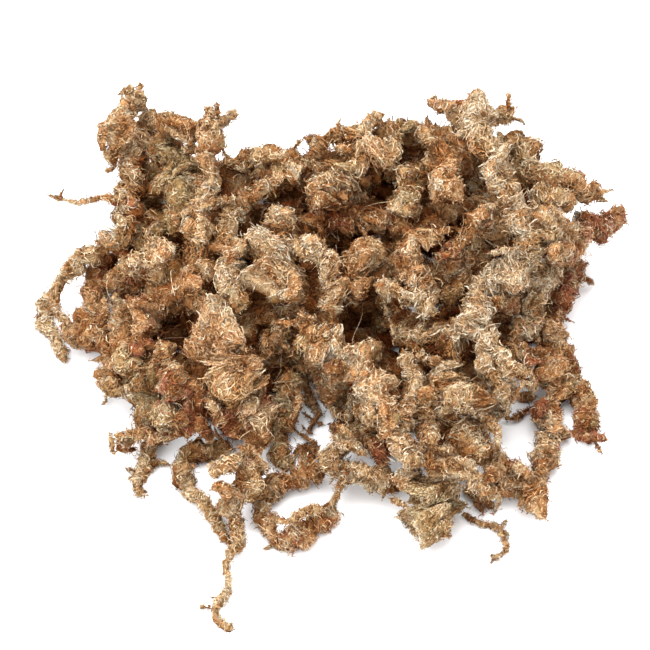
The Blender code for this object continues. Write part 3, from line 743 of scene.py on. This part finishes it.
    def find_stretch(self):
        """Tabulates how far places lie apart for each metre along the middle line and radian round it."""
        s, angle = np.meshgrid(self.at, self.angles, indexing="ij")
        points, _ = self.surface(s, angle, 0)
        ahead = np.linalg.norm(np.gradient(points, axis=0), axis=2) / self.step
        across = np.roll(points, -1, axis=1) - np.roll(points, 1, axis=1)
        around = np.linalg.norm(across, axis=2) / (2 * self.angles[1])
        for _ in range(3):
            ahead, around = smoothed(ahead), smoothed(around)
            smooth_rows(ahead)
            smooth_rows(around)
        self.ahead = ahead.clip(*STRETCH_RANGE)
        self.around = np.maximum(around, LEAST_ROUND * self.radius[:, None])

    def from_tufts(self, s, angle, tuft):
        """How far along and round the strand a place is from the middle of a tuft."""
        turn = half_turn(angle - self.tuft_angle[tuft])
        return s - self.tuft_s[tuft], turn * np.interp(s, self.at, self.radius)

    def look(self, table, s, angle):
        """A table's values at distances s and angles, between the four places round each."""
        row = np.clip(s / self.length, 0, 1) * (len(self.at) - 1)
        column = (angle / (2 * math.pi) % 1) * len(self.angles)
        low = np.minimum(row.astype(int), len(self.at) - 2)
        left = column.astype(int) % len(self.angles)
        right = (left + 1) % len(self.angles)
        u, v = row - low, column - column.astype(int)
        near = table[low, left] * (1 - v) + table[low, right] * v
        far = table[low + 1, left] * (1 - v) + table[low + 1, right] * v
        return near * (1 - u) + far * u

    def across(self, s, columns):
        """The columns' values at distances s along the strand."""
        return np.stack([np.interp(s, self.at, column) for column in columns.T], axis=-1)

    def frame(self, s, angle):
        """The middle, the axis and the outward direction at distances s and angles round the strand."""
        axis = unit(self.across(s, self.axis))
        side = self.across(s, self.side)
        side = unit(side - (side * axis).sum(axis=-1, keepdims=True) * axis)
        other = np.cross(axis, side)
        outward = np.cos(angle)[..., None] * side + np.sin(angle)[..., None] * other
        return self.across(s, self.middle), axis, outward

    def surface(self, s, angle, height):
        """Points at a height above the strand's surface, and the outward direction there.

        Beyond the ends of the strand the points go on along its axis.
        """
        inside = np.clip(s, 0, self.length)
        middle, axis, outward = self.frame(inside, angle)
        reach = self.look(self.relief, inside, angle) + height
        return middle + axis * (s - inside)[..., None] + outward * reach[..., None], outward

    def area(self):
        """The area that the strand's surface would have if it were smooth."""
        return 2 * math.pi * self.radius.mean() * self.length

    def cell_area(self):
        """The area of each cell of the table of its surface."""
        return self.ahead * self.around * self.angles[1] * self.step

    def leaf_weight(self):
        """How many leaves each cell gets, in proportion to the others, from its area and how open it is."""
        share = HIDDEN_SHARE + (1 - HIDDEN_SHARE) * np.clip(OPEN_GAIN * self.openness, 0, 1)
        seen = np.where(self.facing == 1, np.maximum(share, SEEN_SHARE), share * self.facing)
        return seen * self.cell_area()

    def lights(self):
        """How bright each cell is painted, as shade from how open it is."""
        return self.light * np.ones(self.relief.shape)


class Bundle:
    """The vertices, faces, colours and bake map of one piece, put together from many parts."""

    def __init__(self, leaves, cores):
        """Makes room in the bake's map for so many leaves and cores."""
        self.points, self.faces, self.colours, self.maps, self.count = [], [], [], [], 0
        self.cores, self.core_count = 0, cores
        self.wide = math.ceil(math.sqrt(leaves / (1 - CORE_MAP_SHARE)))
        self.high = math.ceil(leaves / self.wide)
        self.leaves = 0

    def add(self, points, faces, colours, places):
        """Adds a part: its points, its triangles, and each point's colour and place in the map."""
        self.points.append(points.reshape(-1, 3))
        self.faces.append(faces.reshape(-1, 3) + self.count)
        self.colours.append(colours.reshape(-1, 3))
        self.maps.append(places.reshape(-1, 2))
        self.count += points.size // 3

    def add_leaves(self, points, faces, colours, u, v):
        """Adds leaves of the same build, each with its own cell in the bake's map."""
        count, size = points.shape[:2]
        faces = faces[None] + size * np.arange(count)[:, None, None]
        cell = self.leaves + np.arange(count)[:, None]
        room = 1 - CORE_MAP_SHARE
        column = (cell % self.wide + 0.1 + 0.8 * u) / self.wide
        line = CORE_MAP_SHARE + room * (cell // self.wide + 0.1 + 0.8 * v) / self.high
        self.leaves += count
        self.add(points, faces, colours, np.stack([column, line], axis=-1))


def add_core(bundle, strand):
    """The strand's own matted surface, which shows between the leaves, painted dark as shade under them and
    darkest in the creases between the tufts.
    """
    count, turns = strand.relief.shape
    stray = (strand.rng.uniform(-CRUMPLE, CRUMPLE, strand.relief.shape) - CORE_SINK) * strand.share
    tone = strand.rng.uniform(*CORE_TONES, strand.relief.shape)[..., None]
    # Painted shade: the core is darker than its tuft's leaves, goes to the crease colour between tufts, and
    # darkens where the place is closed in
    colours = PAINTED_CREASE_SHADE + (TINTS[strand.tint[strand.tuft]] * CORE_SHADE * tone - PAINTED_CREASE_SHADE) * strand.top[..., None]
    colours = colours * strand.lights()[..., None] ** SHADE_WARMTH
    stray, colours = (np.concatenate([table, table[:, :1]], axis=1) for table in (stray, colours))
    s, turn = np.meshgrid(strand.at, np.arange(turns + 1) / turns, indexing="ij")
    points, _ = strand.surface(s, 2 * math.pi * turn, stray)
    index = np.arange(count * (turns + 1)).reshape(count, turns + 1)
    a, b, c, d = index[:-1, :-1], index[1:, :-1], index[1:, 1:], index[:-1, 1:]
    faces = np.stack([np.stack([a, b, c], axis=-1), np.stack([a, c, d], axis=-1)])
    line = CORE_MAP_SHARE * (bundle.cores + 0.04 + 0.92 * turn) / bundle.core_count
    bundle.cores += 1
    bundle.add(points, faces, colours, np.stack([s / strand.length, line], axis=-1))


def band_faces(rows):
    """The triangles between rows of one or two points, each given by how many points it has."""
    faces, first = [], 0
    for here, there in zip(rows, rows[1:]):
        a, b = first, first + here
        i, j = 0, 0
        while i < here - 1 or j < there - 1:
            if j == there - 1 or (i < here - 1 and (i + 1) * there <= (j + 1) * here):
                faces.append((a + i, a + i + 1, b + j))
                i += 1
            else:
                faces.append((a + i, b + j + 1, b + j))
                j += 1
        first = b
    return np.array(faces)


def add_blades(bundle, paths, outward, widths, twist, cup, rows, colours):
    """Leaves along paths, with so many points across each row; cup raises or lowers their edges."""
    along = unit(np.gradient(paths, axis=1))
    flat = unit(np.cross(along, outward))
    across = np.cos(twist)[..., None] * flat + np.sin(twist)[..., None] * np.cross(flat, along)
    proud = np.cross(across, along)
    points, shades, u, v = [], [], [], []
    for k, number in enumerate(rows):
        for side in {1: (0,), 2: (-1, 1)}[number]:
            width = widths[:, k, None]
            edge = side * across[:, k] / 2 + abs(side) * cup[:, None] * proud[:, k]
            points.append(paths[:, k] + width * edge)
            shades.append(colours[:, k])
            u.append((side + 1) / 2)
            v.append(k / (len(rows) - 1))
    points, shades = np.stack(points, axis=1), np.stack(shades, axis=1)
    bundle.add_leaves(points, band_faces(rows), shades, np.array(u), np.array(v))


def pick_tints(mix, count, rng):
    """So many colours, picked as often as the mix says."""
    return rng.choice(len(TINTS), count, p=np.array(mix) / sum(mix))


def stained(tints, points, rng):
    """The colours' numbers, changed where the points lie on a stain."""
    x, y = picture_pixels(points)
    for middle_x, middle_y, radius, name, share in STAINS:
        near = np.exp(-((x - middle_x) ** 2 + (y - middle_y) ** 2) / radius**2)
        tints = np.where(rng.random(tints.shape) < share * near, TINT_NAMES.index(name), tints)
    return tints


def leaf_colours(tints, tone, pale, rows):
    """Colours along each leaf: darkened with painted shade at its root, and paler to its tip."""
    t = np.linspace(0, 1, rows)[None, :, None]
    base = TINTS[tints][:, None, :]
    shades = base * (ROOT_SHADE + (1 - ROOT_SHADE) * np.minimum(1, ROOT_FADE[0] + ROOT_FADE[1] * t))
    shades = shades + (TINTS[0] - shades) * np.clip(pale[:, None, None] * t, 0, 1)
    return shades * tone[:, None, None]


def scatter(weight, count, rng):
    """Rows and columns of so many cells of a table, as often as each one's weight says, and evenly spread."""
    reach = np.cumsum(weight) / weight.sum()
    cell = np.searchsorted(reach, (np.arange(count) + rng.random(count)) / count)
    return np.divmod(np.minimum(cell, weight.size - 1), weight.shape[1])


def drift(points):
    """A number of about -1 to 1 that changes slowly over the clump."""
    total = 0
    for length, way in DRIFTS:
        total = total + np.sin(2 * math.pi * points @ unit(np.array(way)) / length + DRIFT_PHASE * length)
    return np.clip(total / DRIFT_HEIGHT, -1, 1)


def tilted(mix, way):
    """The mix with more of its pale tints, or of its dark ones."""
    return np.array(mix) * np.exp(way * TILT * np.array(PALENESS))


def plan_tufts(strand, mix, brightness):
    """How the leaves of each tuft lie: their way, how they turn, and their colour."""
    rng, count = strand.rng, len(strand.tuft_s)
    strand.comb = rng.uniform(*COMBS)
    loose = 1 - strand.comb
    lie, spin, rosette = (least + more * loose for least, more in (LIE_STRAY, SPIN_STRAY, ROSETTE))
    strand.lie = rng.normal(0, lie, count) + math.pi * (rng.random(count) < 0.5 * loose)
    strand.spin = rng.normal(0, spin, count)
    strand.rosette = rng.uniform(0, rosette, count)
    middle, _, _ = strand.frame(strand.tuft_s, strand.tuft_angle)
    pale = drift(middle)
    light, dark = pick_tints(tilted(mix, 1), count, rng), pick_tints(tilted(mix, -1), count, rng)
    strand.tint = stained(np.where(rng.random(count) < 0.5 + 0.5 * pale, light, dark), middle, rng)
    mean, more, stray = TONES
    strand.tone = brightness * rng.normal(mean + more * pale, stray, count).clip(*TUFT_TONES)


def leaf_ways(strand, s, angle, tuft, at_end):
    """The way each leaf starts in: its tuft's, pulled away from the tuft's middle, or any way at the ends."""
    rng, count = strand.rng, len(s)
    ahead, around = strand.from_tufts(s, angle, tuft)
    out = np.arctan2(around, ahead) + ROSETTE_SPIN * strand.spin[tuft]
    edge = np.hypot(ahead, around) / strand.tuft_size[tuft]
    middle, more = ROSETTE_PULL
    pull, lie = strand.rosette[tuft] * (middle + more * edge.clip(0, 1)), strand.lie[tuft]
    way = np.arctan2(np.sin(lie) + pull * np.sin(out), np.cos(lie) + pull * np.cos(out))
    way = way + rng.normal(0, WAY_STRAY, count)
    return np.where(at_end, rng.uniform(0, 2 * math.pi, count), way)


def leaf_tones(strand, tuft, mix, roots):
    """Each leaf's tint and its brightness."""
    rng, count = strand.rng, len(tuft)
    tint = np.where(rng.random(count) < OWN_TINT, strand.tint[tuft], pick_tints(mix, count, rng))
    tint = stained(tint, roots, rng)
    tone = (strand.tone[tuft] * rng.normal(1, LEAF_TONE, count)).clip(*LEAF_TONES)
    return tint, tone * np.where(rng.random(count) < DARK_LEAVES, DARK_TONE, 1)


def add_leaves(bundle, strand, mix, kind, count):
    """Leaves of one kind on a strand, in tufts that each lie their own way."""
    rng, share = strand.rng, strand.share
    row, column = scatter(strand.leaf_weight(), count, rng)
    s = strand.at[row] + rng.uniform(-0.5, 0.5, count) * strand.step
    angle = strand.angles[column] + rng.uniform(-0.5, 0.5, count) * strand.angles[1]
    tuft = strand.tuft[row, column]
    at_end = np.minimum(s, strand.length - s) < END_ZONE * np.interp(s, strand.at, strand.radius)
    way = leaf_ways(strand, s, angle, tuft, at_end)

    # Its line over the strand, which curls from root to tip
    points = len(kind.rows)
    t = np.linspace(0, 1, points)
    sized = (1 + share) / 2 * np.where(at_end, END_LENGTH, 1 + COMB_LENGTH * strand.comb)
    length = rng.uniform(*kind.lengths, count) * sized
    width = rng.uniform(*kind.widths, count) * (THIN_WIDTH + (1 - THIN_WIDTH) * share)
    curl = kind.turning * rng.choice([-1, 1], count) * rng.uniform(*CURLS, count)
    curl = (SPIN_CURL * strand.spin[tuft] + curl) * (1 - COMB_CURL * strand.comb)
    turn = way[:, None] + curl[:, None] * t[:-1] + rng.normal(0, KINK, (count, points - 1))
    step = (length / (points - 1))[:, None]
    far = np.concatenate([np.zeros((count, 1)), (step * np.cos(turn)).cumsum(axis=1)], axis=1)
    wide = np.concatenate([np.zeros((count, 1)), (step * np.sin(turn)).cumsum(axis=1)], axis=1)
    long_s = s[:, None] + far / strand.ahead[row, column][:, None]
    turned = angle[:, None] + wide / strand.around[row, column][:, None]

    # Its height, which rises to the tip and bows between, and bridges some of each dip
    frayed = rng.random(count) < kind.fraying
    lift = np.where(frayed, rng.uniform(*FRAYED_LIFT, count), rng.uniform(*FLAT_LIFT, count))
    bow = rng.uniform(*kind.bows, count)
    height = rng.uniform(-ROOT_STRAY, ROOT_STRAY, count)[:, None] * share
    height = height + length[:, None] * (lift[:, None] * t + bow[:, None] * np.sin(math.pi * t))
    drop = strand.look(strand.relief, s, angle)[:, None] - strand.look(strand.relief, long_s, turned)
    height = height + np.clip(drop, 0, MOST_BRIDGE * length[:, None]) * rng.uniform(0, 1, count)[:, None]
    paths, outward = strand.surface(long_s, turned, height)

    cup = -rng.uniform(*CUPS, count) * np.where(rng.random(count) < 1 - CUPPED_UP, 1, -UP_CUP)
    at_root, to_tip = TWIST
    twist = rng.normal(0, at_root, count)[:, None] + rng.normal(0, to_tip, count)[:, None] * t
    tint, tone = leaf_tones(strand, tuft, mix, paths[:, 0])
    colours = leaf_colours(tint, tone, rng.uniform(*PALE_TIPS, count), points)
    # Painted shade of the leaves: darker where the place is closed in, and in the creases between tufts
    light = strand.lights()[row, column] * (DENT_LIGHT + (1 - DENT_LIGHT) * strand.top[row, column])
    colours = colours * light[:, None, None] ** SHADE_WARMTH
    widths = width[:, None] * np.array(kind.profile)
    add_blades(bundle, paths, outward, widths, twist, cup, kind.rows, colours)


def add_hairs(bundle, strand, mix, count):
    """Long loose hairs that wind over the strand and stand off it."""
    rng = strand.rng
    s = rng.uniform(0, strand.length, count)[:, None]
    angle = rng.uniform(0, 2 * math.pi, count)[:, None]
    radius = np.interp(s, strand.at, strand.radius)
    t = np.linspace(0, 1, HAIR_POINTS)
    step = rng.uniform(*HAIR_LENGTH, count)[:, None] / (HAIR_POINTS - 1)
    way = rng.uniform(0, 2 * math.pi, count)[:, None] + rng.normal(0, HAIR_TURN, count)[:, None] * t
    far = (step * np.cos(way)).cumsum(axis=1)
    wide = (step * np.sin(way)).cumsum(axis=1) / radius
    bow = rng.uniform(*HAIR_BOW, count)[:, None]
    height = HAIR_LIFT + bow * np.sin(math.pi * t * rng.uniform(*HAIR_ARCH))
    paths, outward = strand.surface(s + far, angle + wide, height)
    rows = (2,) * (HAIR_POINTS - 1) + (1,)
    tints, pale = pick_tints(mix, count, rng), rng.uniform(*HAIR_PALENESS, count)
    colours = leaf_colours(tints, np.ones(count), pale, HAIR_POINTS)
    flat = np.zeros((count, HAIR_POINTS))
    add_blades(bundle, paths, outward, HAIR_WIDTH + flat, flat, np.zeros(count), rows, colours)


def shoot_rows(strand, lengths, radii, rng):
    """A side shoot's middle line and radius: it leaves the strand where that is open, and curls back."""
    weight = (SHOOT_ANYWHERE + strand.openness) ** 2
    cell = rng.choice(weight.size, p=(weight / weight.sum()).ravel())
    row, column = divmod(cell, weight.shape[1])
    s, angle = strand.at[row], strand.angles[column]
    middle, axis, outward = strand.frame(np.array(s), np.array(angle))
    start = middle + outward * strand.relief[row, column] * SHOOT_DEPTH
    length = rng.uniform(*lengths) * strand.share
    way = unit(outward * rng.uniform(*SHOOT_RISE) + axis * rng.normal(0, 1) + rng.normal(0, SHOOT_STRAY, 3))
    bend = unit(np.cross(way, rng.normal(size=3)) - SHOOT_FALL * outward) * rng.uniform(*SHOOT_BEND)
    places = [start]
    for _ in range(SHOOT_STEPS):
        way = unit(way + bend + rng.normal(0, SHOOT_KINK, 3))
        places.append(places[-1] + way * length / SHOOT_STEPS)
    places = np.array(places)
    thick = rng.uniform(*radii) * strand.share * np.linspace(*SHOOT_TAPER, SHOOT_STEPS + 1)
    places[:, 2] = np.maximum(places[:, 2], thick + FLOOR_GAP)
    return np.column_stack([places, thick]), strand.light[row, column]


def moss_material(slot):
    """Dry moss: the leaves' colours under a crumpled pattern of creases and pits, with warm painted shade in
    the pits, and no gloss.
    """
    material = bpy.data.materials.new("moss_" + slot)
    material.use_nodes = True
    nodes, links = material.node_tree.nodes, material.node_tree.links
    shader = nodes["Principled BSDF"]

    def noise(scale, detail, distortion):
        node = nodes.new("ShaderNodeTexNoise")
        node.inputs["Scale"].default_value = scale
        node.inputs["Detail"].default_value = detail
        node.inputs["Distortion"].default_value = distortion
        links.new(place.outputs["Object"], node.inputs["Vector"])
        return node.outputs["Fac"]

    def ranged(value, low, high, to_low, to_high):
        node = nodes.new("ShaderNodeMapRange")
        for name, number in (("From Min", low), ("From Max", high), ("To Min", to_low), ("To Max", to_high)):
            node.inputs[name].default_value = number
        links.new(value, node.inputs["Value"])
        return node.outputs["Result"]

    def worked_out(operation, value):
        node = nodes.new("ShaderNodeMath")
        node.operation = operation
        links.new(value, node.inputs[0])
        return node

    def creases(scale, detail, share):
        """Thin lines of depth 0 where a noise passes its middle value, and ground between them."""
        middle = worked_out("SUBTRACT", noise(scale, detail, CREASE_DISTORTION))
        middle.inputs[1].default_value = 0.5
        far = worked_out("ABSOLUTE", middle.outputs["Value"]).outputs["Value"]
        return ranged(far, 0.0, CREASE_REACH, 0, share)

    place = nodes.new("ShaderNodeTexCoord")
    colour = nodes.new("ShaderNodeAttribute")
    colour.attribute_name = COLOUR
    mottle = noise(*MOTTLE)
    large, small = (creases(*crease) for crease in CREASES)
    both = worked_out("ADD", large)
    links.new(small, both.inputs[1])
    depth = both.outputs["Value"]
    # Painted shade in the sunken pits between the creases' lines
    pits = nodes.new("ShaderNodeMix")
    pits.data_type = "RGBA"
    pits.blend_type = "MULTIPLY"
    pits.inputs["B"].default_value = PIT_SHADE
    links.new(ranged(depth, PIT_START, 1, 0, 1), pits.inputs["Factor"])
    links.new(colour.outputs["Color"], pits.inputs["A"])
    tinted = nodes.new("ShaderNodeVectorMath")
    tinted.operation = "SCALE"
    links.new(pits.outputs["Result"], tinted.inputs[0])
    links.new(ranged(mottle, 0.3, 0.7, *MOTTLE_TONES), tinted.inputs["Scale"])
    links.new(tinted.outputs["Vector"], shader.inputs["Base Color"])
    links.new(ranged(mottle, 0, 1, *ROUGHNESS), shader.inputs["Roughness"])
    bump = nodes.new("ShaderNodeBump")
    bump.invert = True
    bump.inputs["Strength"].default_value = BUMP_STRENGTH
    bump.inputs["Distance"].default_value = BUMP_DEPTH
    links.new(depth, bump.inputs["Height"])
    links.new(bump.outputs["Normal"], shader.inputs["Normal"])
    shader.inputs["Specular IOR Level"].default_value = SPECULAR
    return material


def make_piece(name, bundle, material):
    """The object of one dressed strand."""
    points = np.concatenate(bundle.points)
    points[:, 2] = np.maximum(points[:, 2], FLOOR_GAP)
    faces = np.concatenate(bundle.faces)
    mesh = bpy.data.meshes.new(name)
    mesh.vertices.add(len(points))
    mesh.vertices.foreach_set("co", points.astype(np.float32).ravel())
    mesh.loops.add(faces.size)
    mesh.loops.foreach_set("vertex_index", faces.astype(np.int32).ravel())
    mesh.polygons.add(len(faces))
    mesh.polygons.foreach_set("loop_start", np.arange(0, faces.size, 3, dtype=np.int32))
    mesh.update(calc_edges=True)
    mesh.validate()
    colours = np.column_stack([np.clip(np.concatenate(bundle.colours), 0, 1), np.ones(len(points))])
    layer = mesh.color_attributes.new(COLOUR, "FLOAT_COLOR", "POINT")
    layer.data.foreach_set("color", colours.astype(np.float32).ravel())
    places = mesh.uv_layers.new(name=BAKE_MAP)
    places.data.foreach_set("uv", np.concatenate(bundle.maps)[faces.ravel()].astype(np.float32).ravel())
    mesh.shade_smooth()
    mesh.materials.append(material)
    piece = bpy.data.objects.new(name, mesh)
    bpy.context.scene.collection.objects.link(piece)
    return piece


def main_strand(mesh, seed, solids, ways):
    """The strand that has the form of a node's solid."""
    rows = spine_of(mesh)
    share = float(np.clip(rows[:, 3].mean() / FULL_RADIUS, *STRAND_SIZES))
    turns = 2 * round(math.pi * rows[:, 3].max() / TURN_STEP)
    strand = Strand(rows, seed, share, int(np.clip(turns, SHOOT_TURNS, MOST_TURNS)))
    places, corners, _ = mesh_points(mesh)
    own = BVHTree.FromPolygons([Vector(place) for place in places], corners.tolist())
    strand.measure(own, solids, ways)
    strand.wander()
    strand.grow()
    return strand


def side_shoots(main, seed, rng):
    """The side shoots of a strand; the first one's seed is given."""
    shoots = []
    for spacing, lengths, radii in SHOOTS:
        for _ in range(round(main.length / spacing)):
            rows, light = shoot_rows(main, lengths, radii, rng)
            shoot = Strand(rows, seed + len(shoots), SHOOT_SIZE * main.share, SHOOT_TURNS)
            shoot.openness *= SHOOT_OPENNESS
            # A side shoot takes the painted shade of the place it grows from
            shoot.light = light
            shoots.append(shoot)
    return shoots


def small_strand(rows, seed, deep):
    """A small strand that a piece carries; deep ones get the darkest painted shade and have few leaves."""
    size = float(np.clip(rows[:, 3].mean() / FULL_RADIUS, *ACCENT_SIZES))
    strand = Strand(rows, seed, size, SHOOT_TURNS)
    if deep:
        strand.openness *= UNDER_OPENNESS
        strand.facing *= UNDER_OPENNESS
        strand.light = LIGHT_FLOOR
    return strand


def leaf_counts(strand):
    """How many leaves of each kind a strand has."""
    if strand.radius.mean() < BARE * PIXEL:
        return [0] * len(KINDS)
    leaves = strand.leaf_weight().sum() * LEAVES_PER_AREA / strand.share**0.5
    return [max(3, round(leaves * kind.share)) for kind in KINDS]


def dress(node, index, slot, material, accents, solids, ways):
    """Makes the piece that replaces one node, and returns how many triangles it has.

    It holds the node's strand, its side shoots, the small strands that it carries, and all their leaves.
    """
    first_seed = SEED * 1000 + index * 40
    rng = np.random.default_rng(first_seed)
    main = main_strand(frame["nodes"][node].data, first_seed + 1, solids, ways)
    strands = [main] + side_shoots(main, first_seed + 2, rng)
    finishes = [slot] * len(strands) + [finish for finish, _, _ in accents]
    for _, rows, deep in accents:
        strands.append(small_strand(rows, first_seed + 1 + len(strands), deep))
    for strand in strands[1:]:
        strand.grow()
    counts = [leaf_counts(strand) for strand in strands]
    hairs = max(1, round(main.length / HAIR_SPACING))
    bundle = Bundle(sum(map(sum, counts)) + hairs, len(strands))
    for strand, finish, numbers in zip(strands, finishes, counts):
        mix = MIXES[finish]
        plan_tufts(strand, mix, BRIGHTNESS[finish])
        add_core(bundle, strand)
        for kind, count in zip(KINDS, numbers):
            if count:
                add_leaves(bundle, strand, mix, kind, count)
    add_hairs(bundle, main, MIXES[slot], hairs)
    piece = make_piece("moss_" + node, bundle, material)
    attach(piece, "root")
    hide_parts(node)
    return len(piece.data.polygons)


def dress_all():
    """A piece for every node of the frame, with one material for each finish."""
    slots = {part["node"]: part["material_slot"] for part in frame["record"]["subparts"]}
    materials = {slot: moss_material(slot) for slot in sorted(set(slots.values()))}
    solids, ways = all_solids(), directions(WAYS)
    carried = place_accents(solids)
    counts = []
    for index, node in enumerate(sorted(frame["nodes"])):
        slot = slots[node]
        counts.append(dress(node, index, slot, materials[slot], carried[node], solids, ways))
    print("triangles of moss:", sum(counts), "most in one piece:", max(counts))


def add_floor():
    """A plain white surface."""
    bpy.ops.mesh.primitive_plane_add(size=FLOOR_SIZE)
    floor = bpy.context.object
    floor.name = "floor"
    material = bpy.data.materials.new("floor")
    material.use_nodes = True
    shader = material.node_tree.nodes["Principled BSDF"]
    shader.inputs["Base Color"].default_value = FLOOR_COLOUR
    shader.inputs["Roughness"].default_value = 0.7
    shader.inputs["Specular IOR Level"].default_value = 0.1
    floor.data.materials.append(material)


def add_light(name, place, size, power):
    """A square soft light at a place, turned to the clump."""
    data = bpy.data.lights.new(name, "AREA")
    data.size = size
    data.energy = power
    light = bpy.data.objects.new(name, data)
    light.location = place
    light.rotation_euler = (-light.location).to_track_quat("-Z", "Y").to_euler()
    bpy.context.scene.collection.objects.link(light)


def add_lights():
    """A large soft light overhead, a fill from the front left, and a white studio round them."""
    for light in LIGHTS:
        add_light(*light)
    world = bpy.data.worlds.new("studio")
    world.use_nodes = True
    background = world.node_tree.nodes["Background"]
    background.inputs["Color"].default_value = (1, 1, 1, 1)
    background.inputs["Strength"].default_value = STUDIO_STRENGTH
    bpy.context.scene.world = world


def add_camera():
    """The photograph's view: a long lens that looks down at the middle of its picture."""
    data = bpy.data.cameras.new("camera")
    data.sensor_width = SENSOR
    data.lens = SENSOR * VIEW_DISTANCE / (PICTURE_SIZE * PIXEL)
    data.clip_end = CLIP_END
    camera = bpy.data.objects.new("camera", data)
    x, y, z = PICTURE_MIDDLE
    away, up = VIEW_DISTANCE * math.cos(VIEW_ELEVATION), VIEW_DISTANCE * math.sin(VIEW_ELEVATION)
    camera.location = (x, y - away, z + up)
    camera.rotation_euler = (math.pi / 2 - VIEW_ELEVATION, 0, 0)
    bpy.context.scene.collection.objects.link(camera)
    bpy.context.scene.camera = camera


def set_view():
    """Plain colours, so that the white surface stays white."""
    bpy.context.scene.view_settings.view_transform = "Standard"
    bpy.context.scene.view_settings.look = "None"


dress_all()
add_floor()
add_lights()
add_camera()
set_view()
